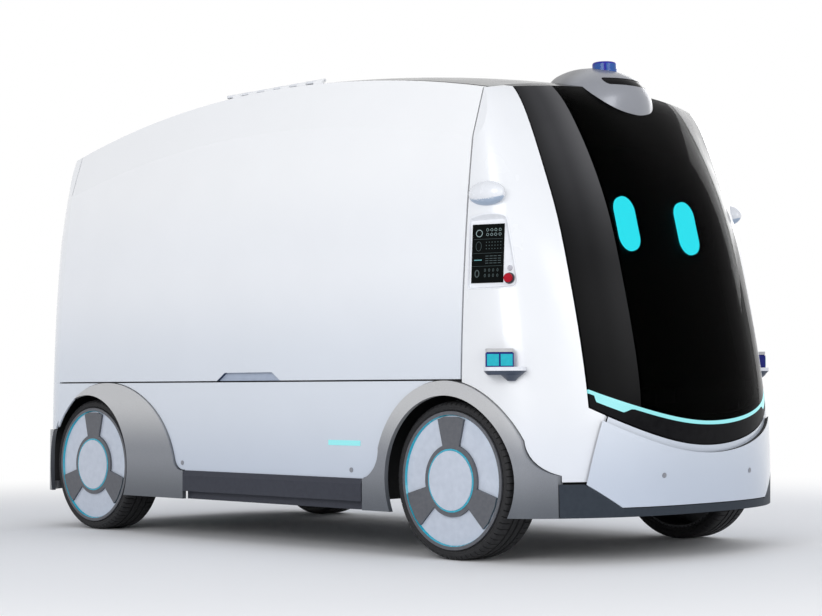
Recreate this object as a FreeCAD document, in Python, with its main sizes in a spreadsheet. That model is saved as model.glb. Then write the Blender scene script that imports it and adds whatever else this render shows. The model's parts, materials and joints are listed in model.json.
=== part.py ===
import FreeCAD, Part
import math
import os
import re
import Sketcher
from FreeCAD import Placement, Rotation, Vector

# Driverless delivery van. Frame: +X forward, +Y left, +Z up, millimetres.
# Origin on the ground, under the middle of the vehicle.

SIZES = {
    # running gear
    "wheelbase": 2180, "front_axle_x": 980, "tyre_radius": 280, "tyre_width": 165, "tyre_face_y": 715,
    "rim_radius": 244, "rim_wall": 8, "barrel_depth": 140, "hub_cap_radius": 105, "hub_ring_radius": 112,
    "spoke_count": 3, "spoke_root": 80, "spoke_tip": 128, "spoke_thick": 9, "disc_dish": 14,
    "steer_arm": 150, "kingpin_y": 590, "kingpin_radius": 12, "stub_radius": 22, "beam_half": 32,
    "axle_tube_radius": 31, "spring_x": 0, "spring_y": 440, "bellows_radius": 56, "travel": 25,
    "steer_deg": 25, "fit": 0.5,
    # body envelope
    "half_width": 745, "rear_x": -1600, "rear_seam_x": -1428, "front_seam_x": 1058, "seam": 6,
    "roof_centre_x": -120, "roof_radius": 5700, "roof_edge_z": 1797, "roof_edge_y": 617, "crown": 60,
    "shoulder_slope": 0.328, "side_flat_z": 597, "side_radius": 7600, "rear_lean_z": 1150,
    "rear_lean_radius": 1250, "roof_seam_y": 583, "door_top_y": 599, "sill_z": 275, "clearance": 160,
    # nose
    "nose_x": 1600, "face_edge_y": 512, "pane_y": 345, "face_setback": 160, "skin": 8, "door_wall": 22,
    "trim_proud": 10, "door_bottom_z": 637, "chin_z": 404, "chin_rise": 136, "bar_z": 478, "bar_rise": 115,
    "bar_thick": 13, "bumper_seam_x": 1412, "bumper_slope": 0.14, "lip_z": 190, "bumper_proud": 12,
    # arches
    "arch_opening": 300, "arch_radius": 352, "rear_hump_x": -1060, "rear_hump_long": 490,
    "rear_hump_short": 420, "rear_hump_top": 392, "rear_hump_z": 240,
    # structure
    "rail_y": 310, "rail_wide": 60, "rail_z": 500, "floor_z": 600, "floor_thick": 30, "mat_thick": 4, "floor_y": 700,
    "plate": 4, "frame_deep": 26, "contact_gap": 0.3,
    # doors
    "hinge_y": 590, "hinge_z": 1806, "knuckle_radius": 7, "pin_radius": 3, "hinge_span": 600,
    "handle_x": -108, "handle_long": 390, "handle_top": 290, "handle_high": 32,
    # sensors and controls
    "pod_bar_z": 1735, "pod_bar_wide": 236, "pod_bar_high": 29, "lidar_x": 1100,
    "lidar_radius": 46, "lidar_top_z": 1826, "eye_wide": 108, "eye_high": 204, "eye_y": 174,
    "eye_x": 1338, "eye_z": 1192, "carrier_half": 325, "carrier_low": 600, "carrier_top": 1480,
    "face_slope": 0.24, "bar_light_z": 404, "bar_light_x": 455, "bar_light_long": 175, "bar_light_high": 19,
    "sonar_radius": 9, "sonar_z": 305, "sonar_front_y": 250, "sonar_proud": 2,
    "panel_x": 1150, "panel_y": 685, "panel_z": 1070, "panel_yaw": 18, "panel_lean": 4.8, "panel_wall": 3,
    "panel_plate": 4, "screen_wide": 123, "screen_high": 207, "screen_thick": 3, "stop_x": 76, "stop_z": -86,
    "stop_radius": 19.5, "stop_head": 16, "stem_radius": 8, "stop_travel": 5, "power_z": -50,
    "power_radius": 9, "bracket_x": 1250, "bracket_y": 720, "bracket_yaw": 45, "shelf_z": 677,
    "scanner_wide": 96, "scanner_deep": 90, "scanner_top_z": 740, "brow_x": 1137, "brow_z": 1284,
    "brow_long": 80, "brow_out": 40, "brow_high": 43, "lens_radius": 13,
}

doc = FreeCAD.newDocument("delivery_van")
sheet = doc.addObject("Spreadsheet::Sheet", "Sizes")
for row, (alias, value) in enumerate(SIZES.items(), 1):
    sheet.set(f"A{row}", alias)
    sheet.set(f"B{row}", str(value))
    sheet.setAlias(f"B{row}", alias)
doc.recompute()


class Cells:
    """Reads a size from the sheet by its alias."""

    def __getattr__(self, alias):
        return float(sheet.get(alias))


S = Cells()
NODES = []


# ---------------------------------------------------------------- helpers

def bound(text):
    """The text of an expression with each alias written as a cell of the sheet."""
    return re.sub(r"\b([a-z]\w*)\b", lambda m: f"Sizes.{m.group(1)}" if m.group(1) in SIZES else m.group(1),
                  str(text))


def amount(text):
    return float(sheet.evalExpression(bound(text)))


def bind(thing, **links):
    for prop, text in links.items():
        thing.setExpression(prop.replace("__", "."), bound(text))
    return thing


def place(thing, x="0", y="0", z="0"):
    return bind(thing, Placement__Base__x=x, Placement__Base__y=y, Placement__Base__z=z)


def box(name, x, y, z, long, wide, high):
    """A box from its least corner and its three lengths."""
    thing = doc.addObject("Part::Box", name)
    bind(thing, Length=long, Width=wide, Height=high)
    return place(thing, x, y, z)


TURNS = {"x": Rotation(Vector(0, 1, 0), 90), "y": Rotation(Vector(1, 0, 0), -90), "z": Rotation()}


def rod(name, axis, x, y, z, radius, length):
    """A cylinder that starts at a point and runs along +axis."""
    thing = doc.addObject("Part::Cylinder", name)
    thing.Placement = Placement(Vector(), TURNS[axis])
    bind(thing, Radius=radius, Height=length)
    return place(thing, x, y, z)


def fuse(name, *parts):
    thing = doc.addObject("Part::MultiFuse", name)
    thing.Shapes = list(parts)
    return thing


def common(name, *parts):
    thing = doc.addObject("Part::MultiCommon", name)
    thing.Shapes = list(parts)
    return thing


def cut(name, base, tool):
    thing = doc.addObject("Part::Cut", name)
    thing.Base = base
    thing.Tool = tool
    return thing


def mirror(name, source):
    """The same piece on the other side of the vehicle."""
    thing = doc.addObject("Part::Mirroring", name)
    thing.Source = source
    thing.Normal = Vector(0, 1, 0)
    return thing


def group(name, *parts):
    thing = doc.addObject("Part::Compound", name)
    thing.Links = list(parts)
    return thing


def both_sides(name, source):
    return group(name, source, mirror(name + "_other", source))


def made(name, shape):
    thing = doc.addObject("Part::Feature", name)
    thing.Shape = shape
    return thing


def node(thing, label):
    thing.Label = label
    NODES.append(thing)
    return thing


def sketch_on(body, role, name):
    sketch = body.newObject("Sketcher::SketchObject", name)
    plane = [p for p in body.Origin.OriginFeatures if p.Role == role][0]
    sketch.AttachmentSupport = [(plane, "")]
    sketch.MapMode = "FlatFace"
    return sketch


def outline(sketch, corners):
    """A closed polygon whose corners are held by expressions."""
    points = [Vector(amount(across), amount(up), 0) for across, up in corners]
    count = len(points)
    for i in range(count):
        sketch.addGeometry(Part.LineSegment(points[i], points[(i + 1) % count]), False)
    for i in range(count):
        sketch.addConstraint(Sketcher.Constraint("Coincident", i, 2, (i + 1) % count, 1))
    for i, (across, up) in enumerate(corners):
        for kind, text, value in (("DistanceX", across, points[i].x), ("DistanceY", up, points[i].y)):
            index = sketch.addConstraint(Sketcher.Constraint(kind, -1, 1, i, 1, value))
            sketch.renameConstraint(index, f"{kind}_{i}")
            sketch.setExpression(f"Constraints.{kind}_{i}", bound(text))


def turned(name, corners):
    """A body turned about the Y axis from a profile of (along Y, radius) corners."""
    body = doc.addObject("PartDesign::Body", name)
    sketch = sketch_on(body, "YZ_Plane", name + "_profile")
    outline(sketch, corners)
    turn = body.newObject("PartDesign::Revolution", name + "_turn")
    turn.Profile = sketch
    turn.ReferenceAxis = (sketch, ["H_Axis"])
    turn.Angle = 360
    return body


def padded(name, role, corners, length):
    """A body padded both ways from a polygon on one of its planes."""
    body = doc.addObject("PartDesign::Body", name)
    sketch = sketch_on(body, role, name + "_profile")
    outline(sketch, corners)
    pad = body.newObject("PartDesign::Pad", name + "_pad")
    pad.Profile = sketch
    pad.Midplane = True
    bind(pad, Length=length)
    return body


# ---------------------------------------------------------------- body envelope

ARC_Z = S.roof_edge_z - S.roof_radius
ARC_AXIS = Vector(S.roof_centre_x, 0, ARC_Z)
BACK_OF_NOSE = 560
FRONT_OF_TAIL = -500
# height, and how far the centre line lies behind the foremost point
NOSE_LINE = ((150, 44), (300, 40), (450, 10), (600, 0), (800, 35), (1000, 80), (1200, 128), (1350, 185),
             (1480, 255), (1580, 322), (1650, 375), (1710, 440), (1750, 510), (1790, 600), (1830, 700))
TAIL_HEIGHTS = (150, 430, 800, 1150, 1300, 1450, 1600, 1750, 1900)


def clamp(share):
    return max(0.0, min(1.0, share))


def side_y(x, z, out):
    """Half width of the body at a place on its side: upright below, an arc above."""
    rise = math.hypot(x - S.roof_centre_x, z - ARC_Z) - (S.side_flat_z - ARC_Z)
    if rise <= 0:
        return S.half_width + out
    return S.half_width + out - S.side_radius + math.sqrt(S.side_radius ** 2 - rise ** 2)


def nose_row(z, back, out):
    """Level section of the nose: straight side, corner, flat-fronted face."""
    setback = S.face_setback - 85 * clamp((z - 1400) / 310) - 60 * clamp((600 - z) / 300)
    reach = S.nose_x - back + out
    edge_x = reach - setback
    start = min(S.front_seam_x, edge_x - 130)
    side = side_y(start, z, out)
    row = []
    for share in (0, 0.45, 0.8):
        x = BACK_OF_NOSE + (start - BACK_OF_NOSE) * share
        row.append(Vector(x, side_y(x, z, out), z))
    row.append(Vector(start, side, z))
    row.append(Vector(start + 0.62 * (edge_x - start), side - 0.06 * (side - S.face_edge_y), z))
    for share in (1, 0.76, 0.5, 0.25, 0):
        row.append(Vector(reach - setback * share ** 2.8, S.face_edge_y * share, z))
    return row


def tail_row(z, out):
    """Level section of the tail: straight side, rounded corner, nearly flat back."""
    lean = max(0, z - S.rear_lean_z) ** 2 / (2 * S.rear_lean_radius)
    depth = S.rear_seam_x - (S.rear_x + lean - out)
    side = side_y(S.rear_seam_x, z, out)
    row = []
    for share in (0, 0.27, 0.57, 0.82):
        x = FRONT_OF_TAIL + (S.rear_seam_x - FRONT_OF_TAIL) * share
        row.append(Vector(x, side_y(x, z, out), z))
    for share in (1, 0.98, 0.94, 0.87, 0.75, 0.55, 0.3, 0):
        row.append(Vector(S.rear_seam_x - depth * math.sqrt(1 - share ** 9), side * share, z))
    return row


def clamped_knots(count):
    """Knots and multiplicities of a clamped cubic with so many poles."""
    knots = list(range(count - 2))
    mults = [4] + [1] * (count - 4) + [4]
    return knots, mults


def envelope(rows):
    """Closed solid behind a cubic surface whose control net is level half rows and their mirror images."""
    grid = [[Vector(p.x, -p.y, p.z) for p in row] + row[-2::-1] for row in rows]
    u_knots, u_mults = clamped_knots(len(grid))
    v_knots, v_mults = clamped_knots(len(grid[0]))
    surface = Part.BSplineSurface()
    surface.buildFromPolesMultsKnots(grid, u_mults, v_mults, u_knots, v_knots, False, False, 3, 3)
    skin = surface.toShape()
    low = [grid[0][0], grid[0][-1]]
    high = [grid[-1][0], grid[-1][-1]]
    low_line = Part.makeLine(*low)
    high_line = Part.makeLine(*high)

    def edges_where(test):
        return [e for e in skin.Edges if all(test(v.Point) for v in e.Vertexes)]

    back_x = low[0].x
    bottom = edges_where(lambda p: abs(p.z - low[0].z) < 0.01)
    top = edges_where(lambda p: abs(p.z - high[0].z) < 0.01)
    sides = edges_where(lambda p: abs(p.x - back_x) < 0.01)
    sides = [e for e in sides if e.Length > 100 and abs(e.Vertexes[0].Z - e.Vertexes[-1].Z) > 10]
    faces = [skin]
    for loop in (bottom + [low_line], top + [high_line], sides + [low_line, high_line]):
        faces.append(Part.Face(Part.Wire(Part.__sortEdges__(loop))))
    shell = Part.Shell(faces)
    shell.sewShape()
    solid = Part.Solid(shell)
    if solid.Volume < 0:
        solid.reverse()
    return solid


def front_envelope(out):
    return envelope([nose_row(z, back, out) for z, back in NOSE_LINE])


def rear_envelope(out):
    return envelope([tail_row(z, out) for z in TAIL_HEIGHTS])


def meet(point, run, centre, radius):
    """Where a line meets a circle, at the place nearest to the line's point."""
    to_point = point - centre
    half_b = to_point.dot(run)
    root = math.sqrt(half_b ** 2 - to_point.dot(to_point) + radius ** 2)
    steps = sorted((-half_b + root, -half_b - root), key=abs)
    return point + run * steps[0]


def section(out, capped):
    """Cross-section at the roof's highest place; capped leaves the sides open-ended outward."""
    x = S.roof_centre_x
    crown_radius = (S.roof_edge_y ** 2 + S.crown ** 2) / (2 * S.crown)
    crown_centre = Vector(x, 0, S.roof_edge_z + S.crown - crown_radius)
    run = Vector(0, S.shoulder_slope, -1).normalize()
    away = Vector(0, 1, S.shoulder_slope).normalize()
    start = Vector(x, S.roof_edge_y, S.roof_edge_z) + away * out
    edge = meet(start, run, crown_centre, crown_radius + out)
    crown_top = crown_centre + Vector(0, 0, crown_radius + out)

    def flip(p):
        return Vector(p.x, -p.y, p.z)

    crown = Part.Arc(edge, crown_top, flip(edge)).toShape()
    if capped:
        foot = edge + run * ((S.half_width + 400 - edge.y) / run.y)
        low = Vector(x, foot.y, -600)
        right = [Part.makeLine(low, foot), Part.makeLine(foot, edge)]
        left = [Part.makeLine(flip(edge), flip(foot)), Part.makeLine(flip(foot), flip(low))]
    else:
        side_centre = Vector(x, S.half_width - S.side_radius, S.side_flat_z)
        near = edge + run * 200
        crease = meet(near, run, side_centre, S.side_radius + out)
        flat = Vector(x, S.half_width + out, S.side_flat_z)
        middle = ((crease - side_centre) + (flat - side_centre)).normalize() * (S.side_radius + out)
        middle = side_centre + middle
        low = Vector(x, S.half_width + out, 300)
        right = [Part.makeLine(low, flat), Part.Arc(flat, middle, crease).toShape(),
                 Part.makeLine(crease, edge)]
        left = [Part.makeLine(flip(edge), flip(crease)),
                Part.Arc(flip(crease), flip(middle), flip(flat)).toShape(),
                Part.makeLine(flip(flat), flip(low))]
    base = Part.makeLine(flip(low), low)
    return Part.Face(Part.Wire(right + [crown] + left + [base]))


def swept(out, capped, angle):
    """The section turned about the crosswise axis of the roof arc."""
    face = section(out, capped)
    face.rotate(ARC_AXIS, Vector(0, 1, 0), -angle / 2)
    return face.revolve(ARC_AXIS, Vector(0, 1, 0), angle)


def slab(x0, x1, y0, y1, z0, z1):
    return Part.makeBox(x1 - x0, y1 - y0, z1 - z0, Vector(x0, y0, z0))


def prism_along_y(edges, half=900):
    face = Part.Face(Part.Wire(Part.__sortEdges__(edges)))
    face.translate(Vector(0, -half, 0))
    return face.extrude(Vector(0, 2 * half, 0))


def above_arc(low, rise, half):
    """Everything over an arc that is lowest in the middle, inside +-half of the width."""
    x = S.front_seam_x + S.seam / 2
    radius = (S.face_edge_y ** 2 + rise ** 2) / (2 * rise)
    end_z = low + radius - math.sqrt(radius ** 2 - half ** 2)
    right = Vector(x, -half, end_z)
    left = Vector(x, half, end_z)
    arc = Part.Arc(right, Vector(x, 0, low), left).toShape()
    up = Vector(0, 0, 2100 - end_z)
    lines = [Part.makeLine(left, left + up), Part.makeLine(left + up, right + up), Part.makeLine(right + up, right)]
    return Part.Face(Part.Wire([arc] + lines)).extrude(Vector(700, 0, 0))


def segments(points):
    return [Part.makeLine(a, b) for a, b in zip(points, points[1:])]


def on_circle(x, z, radius, degrees):
    angle = math.radians(degrees)
    return Vector(x + radius * math.cos(angle), 0, z + radius * math.sin(angle))


def front_arch_zone(gap):
    """Side view of the front arch trim: a round hump with concave feet."""
    x = S.front_axle_x
    z = S.tyre_radius
    radius = S.arch_radius + gap
    nose_foot = Vector(x + 412 + gap, 0, z + 25)
    sill_foot = Vector(x - 420 - gap, 0, S.sill_z + gap)
    front = on_circle(x, z, radius, 24)
    rear = on_circle(x, z, radius, 162)
    hump = Part.Arc(front, on_circle(x, z, radius, 93), rear).toShape()
    front_foot = Part.Arc(nose_foot, Vector(x + 352 + gap, 0, z + 66 + gap), front).toShape()
    rear_foot = Part.Arc(rear, Vector(x - 362 - gap, 0, z + 30 + gap), sill_foot).toShape()
    low = S.clearance
    rest = segments([sill_foot, Vector(sill_foot.x, 0, low), Vector(nose_foot.x, 0, low), nose_foot])
    return prism_along_y([front_foot, hump, rear_foot] + rest)


def rear_arch_zone(gap):
    """Side view of the rear arch trim: a hump that runs out forward in a long tail."""
    x = S.rear_hump_x
    z = S.rear_hump_z
    top = S.rear_hump_top + gap

    def hump_point(degrees):
        long = S.rear_hump_long if degrees < 90 else S.rear_hump_short
        angle = math.radians(degrees)
        return Vector(x + (long + gap) * math.cos(angle), 0, z + top * math.sin(angle))

    curve = Part.BSplineCurve()
    curve.interpolate([hump_point(a) for a in (12, 35, 60, 90, 115, 135, 151)])
    first = curve.value(curve.FirstParameter)
    last = curve.value(curve.LastParameter)
    sill_foot = Vector(x + 545 + gap, 0, S.sill_z + gap)
    foot = Part.Arc(sill_foot, Vector(x + 496 + gap, 0, z + 50 + gap), first).toShape()
    low = S.clearance
    rear = S.rear_seam_x
    rest = segments([last, Vector(rear, 0, last.z), Vector(rear, 0, low), Vector(sill_foot.x, 0, low), sill_foot])
    return prism_along_y([foot, curve.toShape()] + rest)


def opening(x, radius):
    return Part.makeCylinder(radius, 1900, Vector(x, -950, S.tyre_radius), Vector(0, 1, 0))


REAR_AXLE_X = S.front_axle_x - S.wheelbase
SEAM = S.seam / 2
skin = S.skin
inner = -skin - S.contact_gap
frame_in = inner - S.frame_deep

front_cap = {out: swept(out, True, 56) for out in (0, -skin, inner, frame_in)}
nose_skin = front_envelope(0).common(front_cap[0]).cut(front_envelope(-skin).common(front_cap[-skin]))
nose_core = front_envelope(inner).common(front_cap[inner])
nose_frame = nose_core.cut(front_envelope(frame_in).common(front_cap[frame_in]))
tail_skin = rear_envelope(0).common(front_cap[0]).cut(rear_envelope(-skin).common(front_cap[-skin]))
tail_core = rear_envelope(inner).common(front_cap[inner])
main_outer = swept(0, False, 44)
roof_skin = main_outer.cut(swept(-skin, False, 44))
door_skin = main_outer.cut(swept(-S.door_wall, False, 44))
main_core = swept(inner, False, 44)
main_frame = main_core.cut(swept(frame_in, False, 44))
print("envelopes", nose_skin.isValid(), tail_skin.isValid(), roof_skin.isValid(), door_skin.isValid())


# ---------------------------------------------------------------- outer panels

def mirrored(shape):
    return shape.mirror(Vector(), Vector(0, 1, 0))


def pair(shape):
    return Part.makeCompound([shape, mirrored(shape)])


def right_of(y, x0=-1700, x1=1700, z0=0, z1=2100):
    return slab(x0, x1, -1000, y, z0, z1)


front_start = S.front_seam_x + SEAM
front_end = 1700
face_half = S.face_edge_y - SEAM
bar_low = S.bar_z - S.bar_thick / 2
bar_high = S.bar_z + S.bar_thick / 2

# black face: visor over the light bar, side panes, chin under the bar
over_bar = above_arc(bar_high + 1, S.bar_rise, face_half)
bar_zone = above_arc(bar_low, S.bar_rise, face_half).cut(above_arc(bar_high, S.bar_rise, face_half))
chin_zone = above_arc(S.chin_z, S.chin_rise, face_half).cut(above_arc(bar_low - 1, S.bar_rise, face_half))
pane_slab = slab(front_start, front_end, -S.pane_y + 2, S.pane_y - 2, 300, 2100)
visor = nose_skin.common(over_bar).common(pane_slab)
node(made("Visor", visor), "visor_glass")
pane = nose_skin.common(over_bar).common(right_of(-S.pane_y - 2))
node(made("Panes", pair(pane)), "side_glass")
node(made("Smile", nose_skin.common(bar_zone)), "front_light_bar")
node(made("Chin", nose_skin.common(chin_zone)), "chin_trim")


def bumper_zone(gap):
    """Forward of the raked seam, under the chin."""
    low_x = S.bumper_seam_x - gap
    rake = S.bumper_slope * 500
    corners = [Vector(low_x, 0, 0), Vector(front_end, 0, 0), Vector(front_end, 0, 640),
               Vector(low_x + rake * 1.28, 0, 640), Vector(low_x, 0, 0)]
    return prism_along_y(segments(corners)).cut(above_arc(S.chin_z - S.seam + gap, S.chin_rise, S.face_edge_y + gap))


def lip_zone(gap):
    """Low grey band across the front, with raised corners."""
    x = S.front_axle_x
    z = S.lip_z + gap
    high = S.sill_z + gap
    corners = [(-900, 0), (900, 0), (900, high), (540, high), (415, z), (-415, z), (-540, high), (-900, high),
               (-900, 0)]
    points = [Vector(x, across, up) for across, up in corners]
    return Part.Face(Part.Wire(segments(points))).extrude(Vector(800, 0, 0))


low_front = front_envelope(S.trim_proud).cut(front_envelope(-skin))
low_rear = rear_envelope(S.trim_proud).cut(rear_envelope(-skin))
front_opening = opening(S.front_axle_x, S.arch_opening)
rear_opening = opening(REAR_AXLE_X, S.arch_opening)

def nose_solid(out):
    """The nose as a whole, so far outside the body's surface."""
    return front_envelope(out).common(swept(out, True, 56))


def side_point(x, z):
    """Where the right side of the nose is, at a place seen from the side."""
    line = Part.makeLine(Vector(x, -900, z), Vector(x, 0, z)).common(nose_body)
    return Vector(x, min(v.Y for v in line.Vertexes), z)


def rounded(corners, y):
    """Closed outline across Y; a corner is x, z and its radius."""
    edges = []
    last = None
    first = None
    for index, (x, z, radius) in enumerate(corners):
        corner = Vector(x, y, z)
        back = (Vector(corners[index - 1][0], y, corners[index - 1][1]) - corner).normalize()
        after = corners[(index + 1) % len(corners)]
        ahead = (Vector(after[0], y, after[1]) - corner).normalize()
        half = back.getAngle(ahead) / 2
        start = corner + back * (radius / math.tan(half))
        stop = corner + ahead * (radius / math.tan(half))
        middle = corner + (back + ahead).normalize() * (radius / math.sin(half) - radius)
        if last:
            edges.append(Part.makeLine(last, start))
        else:
            first = start
        edges.append(Part.Arc(start, middle, stop).toShape())
        last = stop
    edges.append(Part.makeLine(last, first))
    return Part.Wire(edges)


def grown(corners, by):
    """The same outline, so much larger all round."""
    x0 = sum(c[0] for c in corners) / len(corners)
    z0 = sum(c[1] for c in corners) / len(corners)
    return [(x + math.copysign(by, x - x0), z + math.copysign(by, z - z0), radius + by) for x, z, radius in corners]


# ---------------------------------------------------------------- control panel on the right

nose_body = nose_solid(0)
panel_turn = Rotation(Vector(0, 0, 1), S.panel_yaw).multiply(Rotation(Vector(1, 0, 0), -S.panel_lean))
panel_place = Placement(Vector(S.panel_x, -S.panel_y, S.panel_z), panel_turn)
plate_outline = [(-78, -116, 8), (103, -112, 16), (51, 125, 12), (-78, 121, 8)]
mouth_outline = [(-84, -126, 8), (150, -124, 40), (92, 158, 46), (-84, 154, 8)]
MOUTH = 40
REST = 0.1


def on_panel(shape):
    """From the panel's own axes, where -Y points out, to its place on the vehicle."""
    shape.Placement = panel_place.multiply(shape.Placement)
    return shape


def panel_rod(x, z, radius, y0, y1):
    return on_panel(Part.makeCylinder(radius, y1 - y0, Vector(x, y0, z), Vector(0, 1, 0)))


def funnel(by, behind):
    """The panel's room in the cowl, from behind its plate to outside the body."""
    wires = [rounded(grown(plate_outline, by), behind), rounded(grown(mouth_outline, by), -MOUTH)]
    return on_panel(Part.makeLoft(wires, True, True))


panel_room = funnel(S.panel_wall + S.contact_gap, S.panel_plate + S.contact_gap)
hollow = funnel(0, 0)
dish = funnel(S.panel_wall, S.panel_plate).common(nose_body).cut(hollow)
dish = dish.cut(panel_rod(S.stop_x, S.stop_z, S.stem_radius + S.fit, -1, S.panel_plate + 1))
dish = dish.cut(panel_rod(S.stop_x, S.power_z, S.power_radius + S.fit, -1, S.panel_plate + 1))
node(made("Control_panel", dish), "control_panel")

screen = Part.makeBox(S.screen_wide, S.screen_thick, S.screen_high,
                      Vector(-9.5 - S.screen_wide / 2, -S.screen_thick - REST, 3.5 - S.screen_high / 2))
screen = on_panel(screen.makeFillet(1, [e for e in screen.Edges if e.BoundBox.YMax < 1 - S.screen_thick]))
node(made("Touchscreen", screen), "touchscreen")

stop_ring = panel_rod(S.stop_x, S.stop_z, S.stop_radius, -5, -REST)
stop_ring = stop_ring.cut(panel_rod(S.stop_x, S.stop_z, S.stem_radius + S.fit, -6, 1))
contacts = panel_rod(S.stop_x, S.stop_z, S.stem_radius + 6, S.panel_plate + REST, 26)
contacts = contacts.cut(panel_rod(S.stop_x, S.stop_z, S.stem_radius + S.fit, S.panel_plate - 1, 20))
node(made("Stop_base", Part.makeCompound([stop_ring, contacts])), "estop_base")

head_low = -6 - S.stop_travel
head = Part.makeCylinder(S.stop_head, 9, Vector(S.stop_x, head_low - 9, S.stop_z), Vector(0, 1, 0))
head = on_panel(head.makeFillet(3.5, [e for e in head.Edges if e.BoundBox.YMax < head_low - 8]))
stem = panel_rod(S.stop_x, S.stop_z, S.stem_radius, head_low, 12)
node(made("Stop_button", head.fuse(stem).removeSplitter()), "estop_button")
power = Part.makeCylinder(S.power_radius, 9, Vector(S.stop_x, -3, S.power_z), Vector(0, 1, 0))
power = on_panel(power.makeFillet(1, [e for e in power.Edges if e.BoundBox.YMax < -2]))
node(made("Power_button", power), "power_button")

cowl = nose_skin.common(right_of(-200, x0=front_start, z0=S.sill_z + 8))
cowl = cowl.cut(above_arc(S.chin_z - S.seam, S.chin_rise, S.face_edge_y + SEAM))
cowl = cowl.cut(bumper_zone(S.seam)).cut(front_arch_zone(3))
node(made("Cowls", Part.makeCompound([cowl.cut(panel_room), mirrored(cowl)])), "front_cowls")

proud_skin = front_envelope(S.bumper_proud).cut(front_envelope(-skin))
bumper = proud_skin.common(bumper_zone(0)).cut(lip_zone(3)).cut(slab(0, 1700, -1000, 1000, 0, S.lip_z))
ledge = 32
stepped = bumper.common(above_arc(S.chin_z - ledge, S.chin_rise, 900))
bumper = bumper.cut(above_arc(S.chin_z - ledge, S.chin_rise, 900)).fuse(stepped.common(front_envelope(-2)))
node(made("Bumper", bumper.removeSplitter()), "front_bumper")

lip = low_front.common(lip_zone(0)).common(slab(1250, 1700, -1000, 1000, S.clearance, 300))
lip = lip.cut(front_arch_zone(3))
node(made("Lip", lip), "front_lip")

front_trim = low_front.common(front_arch_zone(0)).common(right_of(-300)).cut(front_opening)
node(made("Front_trims", pair(front_trim)), "arch_trims_front")
rear_trim = low_rear.common(rear_arch_zone(0)).common(right_of(-300)).cut(rear_opening)
rear_trim = rear_trim.common(slab(S.rear_seam_x, 0, -1000, 0, 0, 700))
node(made("Rear_trims", pair(rear_trim)), "arch_trims_rear")

rear_split_z = 427
rear_bumper = low_rear.common(slab(-1700, S.rear_seam_x - 3, -1000, 1000, S.clearance, rear_split_z))
rear_bumper = rear_bumper.cut(pair(rear_opening))
node(made("Rear_bumper", rear_bumper), "rear_bumper")

rear_bar_zone = slab(-1700, -1500, -520, 520, 520, 548)
rear_panel = tail_skin.common(slab(-1700, S.rear_seam_x - SEAM, -1000, 1000, rear_split_z + SEAM, 2100))
rear_panel = rear_panel.cut(pair(rear_opening)).cut(slab(-1700, -1500, -520.3, 520.3, 519.7, 548.3))
node(made("Rear_panel", rear_panel), "rear_panel")
node(made("Rear_bar", tail_skin.common(rear_bar_zone)), "rear_light_bar")

# roof between the door hinges
roof = roof_skin.common(slab(S.rear_seam_x + SEAM, S.front_seam_x - SEAM, -S.roof_seam_y, S.roof_seam_y, 1500, 2000))
node(made("Roof", roof), "roof_panel")

# white side panels between the arch trims, and sills below them
side = slab(S.rear_seam_x + SEAM, 1000, -S.half_width, -S.half_width + skin, S.sill_z, S.door_bottom_z - S.seam)
side = side.cut(front_arch_zone(3)).cut(rear_arch_zone(3))
node(made("Side_panels", pair(side)), "lower_side_panels")

sill_body = padded("Sill", "YZ_Plane",
                   [("-half_width-12", "clearance+32"), ("-half_width-12", "sill_z-20"), ("-half_width-4", "sill_z"),
                    ("-half_width+60", "sill_z"), ("-half_width+60", "clearance"), ("-half_width+14", "clearance"),
                    ("-half_width+14", "clearance+32")],
                   "front_axle_x-420-4-(rear_hump_x+545+4)")
place(sill_body, "(front_axle_x-420-4+rear_hump_x+545+4)/2")
node(both_sides("Sills", sill_body), "sills")

# ---------------------------------------------------------------- cargo doors

door_zone = slab(S.rear_seam_x + SEAM, S.front_seam_x - SEAM, -1000, -S.door_top_y, S.door_bottom_z, 2100)
door_shape = door_skin.common(door_zone)
hx = S.handle_x
handle_face = [Vector(hx - S.handle_long / 2, 0, 600), Vector(hx + S.handle_long / 2, 0, 600),
               Vector(hx + S.handle_long / 2, 0, S.door_bottom_z),
               Vector(hx + S.handle_top / 2, 0, S.door_bottom_z + S.handle_high),
               Vector(hx - S.handle_top / 2, 0, S.door_bottom_z + S.handle_high),
               Vector(hx - S.handle_long / 2, 0, S.door_bottom_z)]
handle = prism_along_y(segments(handle_face + handle_face[:1])).common(slab(-900, 900, -900, -S.half_width + 14, 0, 900))
door_shape = door_shape.cut(handle)

knuckle_count = 12
knuckle_long = S.hinge_span / knuckle_count
hinge_start = S.roof_centre_x - S.hinge_span / 2
moving = []
fixed = []
for index in range(knuckle_count):
    start = Vector(hinge_start + index * knuckle_long + 0.5, -S.hinge_y, S.hinge_z)
    long = knuckle_long - 1
    tube = Part.makeCylinder(S.knuckle_radius, long, start, Vector(1, 0, 0))
    bore = Part.makeCylinder(S.pin_radius + 0.3, long, start, Vector(1, 0, 0))
    if index % 2:
        leaf = slab(start.x, start.x + long, -S.door_top_y - 8, -S.hinge_y - 2, S.hinge_z - 19, S.hinge_z - 1)
        moving.append(tube.fuse(leaf).cut(bore))
    else:
        leaf = slab(start.x, start.x + long, -S.hinge_y + 2, -S.roof_seam_y, S.hinge_z - 40, S.hinge_z)
        fixed.append(tube.fuse(leaf).cut(bore))
pin = Part.makeCylinder(S.pin_radius, S.hinge_span, Vector(hinge_start, -S.hinge_y, S.hinge_z), Vector(1, 0, 0))
door_hinged = door_shape.fuse(moving).removeSplitter()
node(made("Door_right", door_hinged), "door_right")
node(made("Door_left", mirrored(door_hinged)), "door_left")
hinge_leaves = Part.makeCompound(fixed + [pin])
node(made("Hinges", pair(hinge_leaves)), "door_hinges")

# ---------------------------------------------------------------- frames that carry the panels

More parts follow.
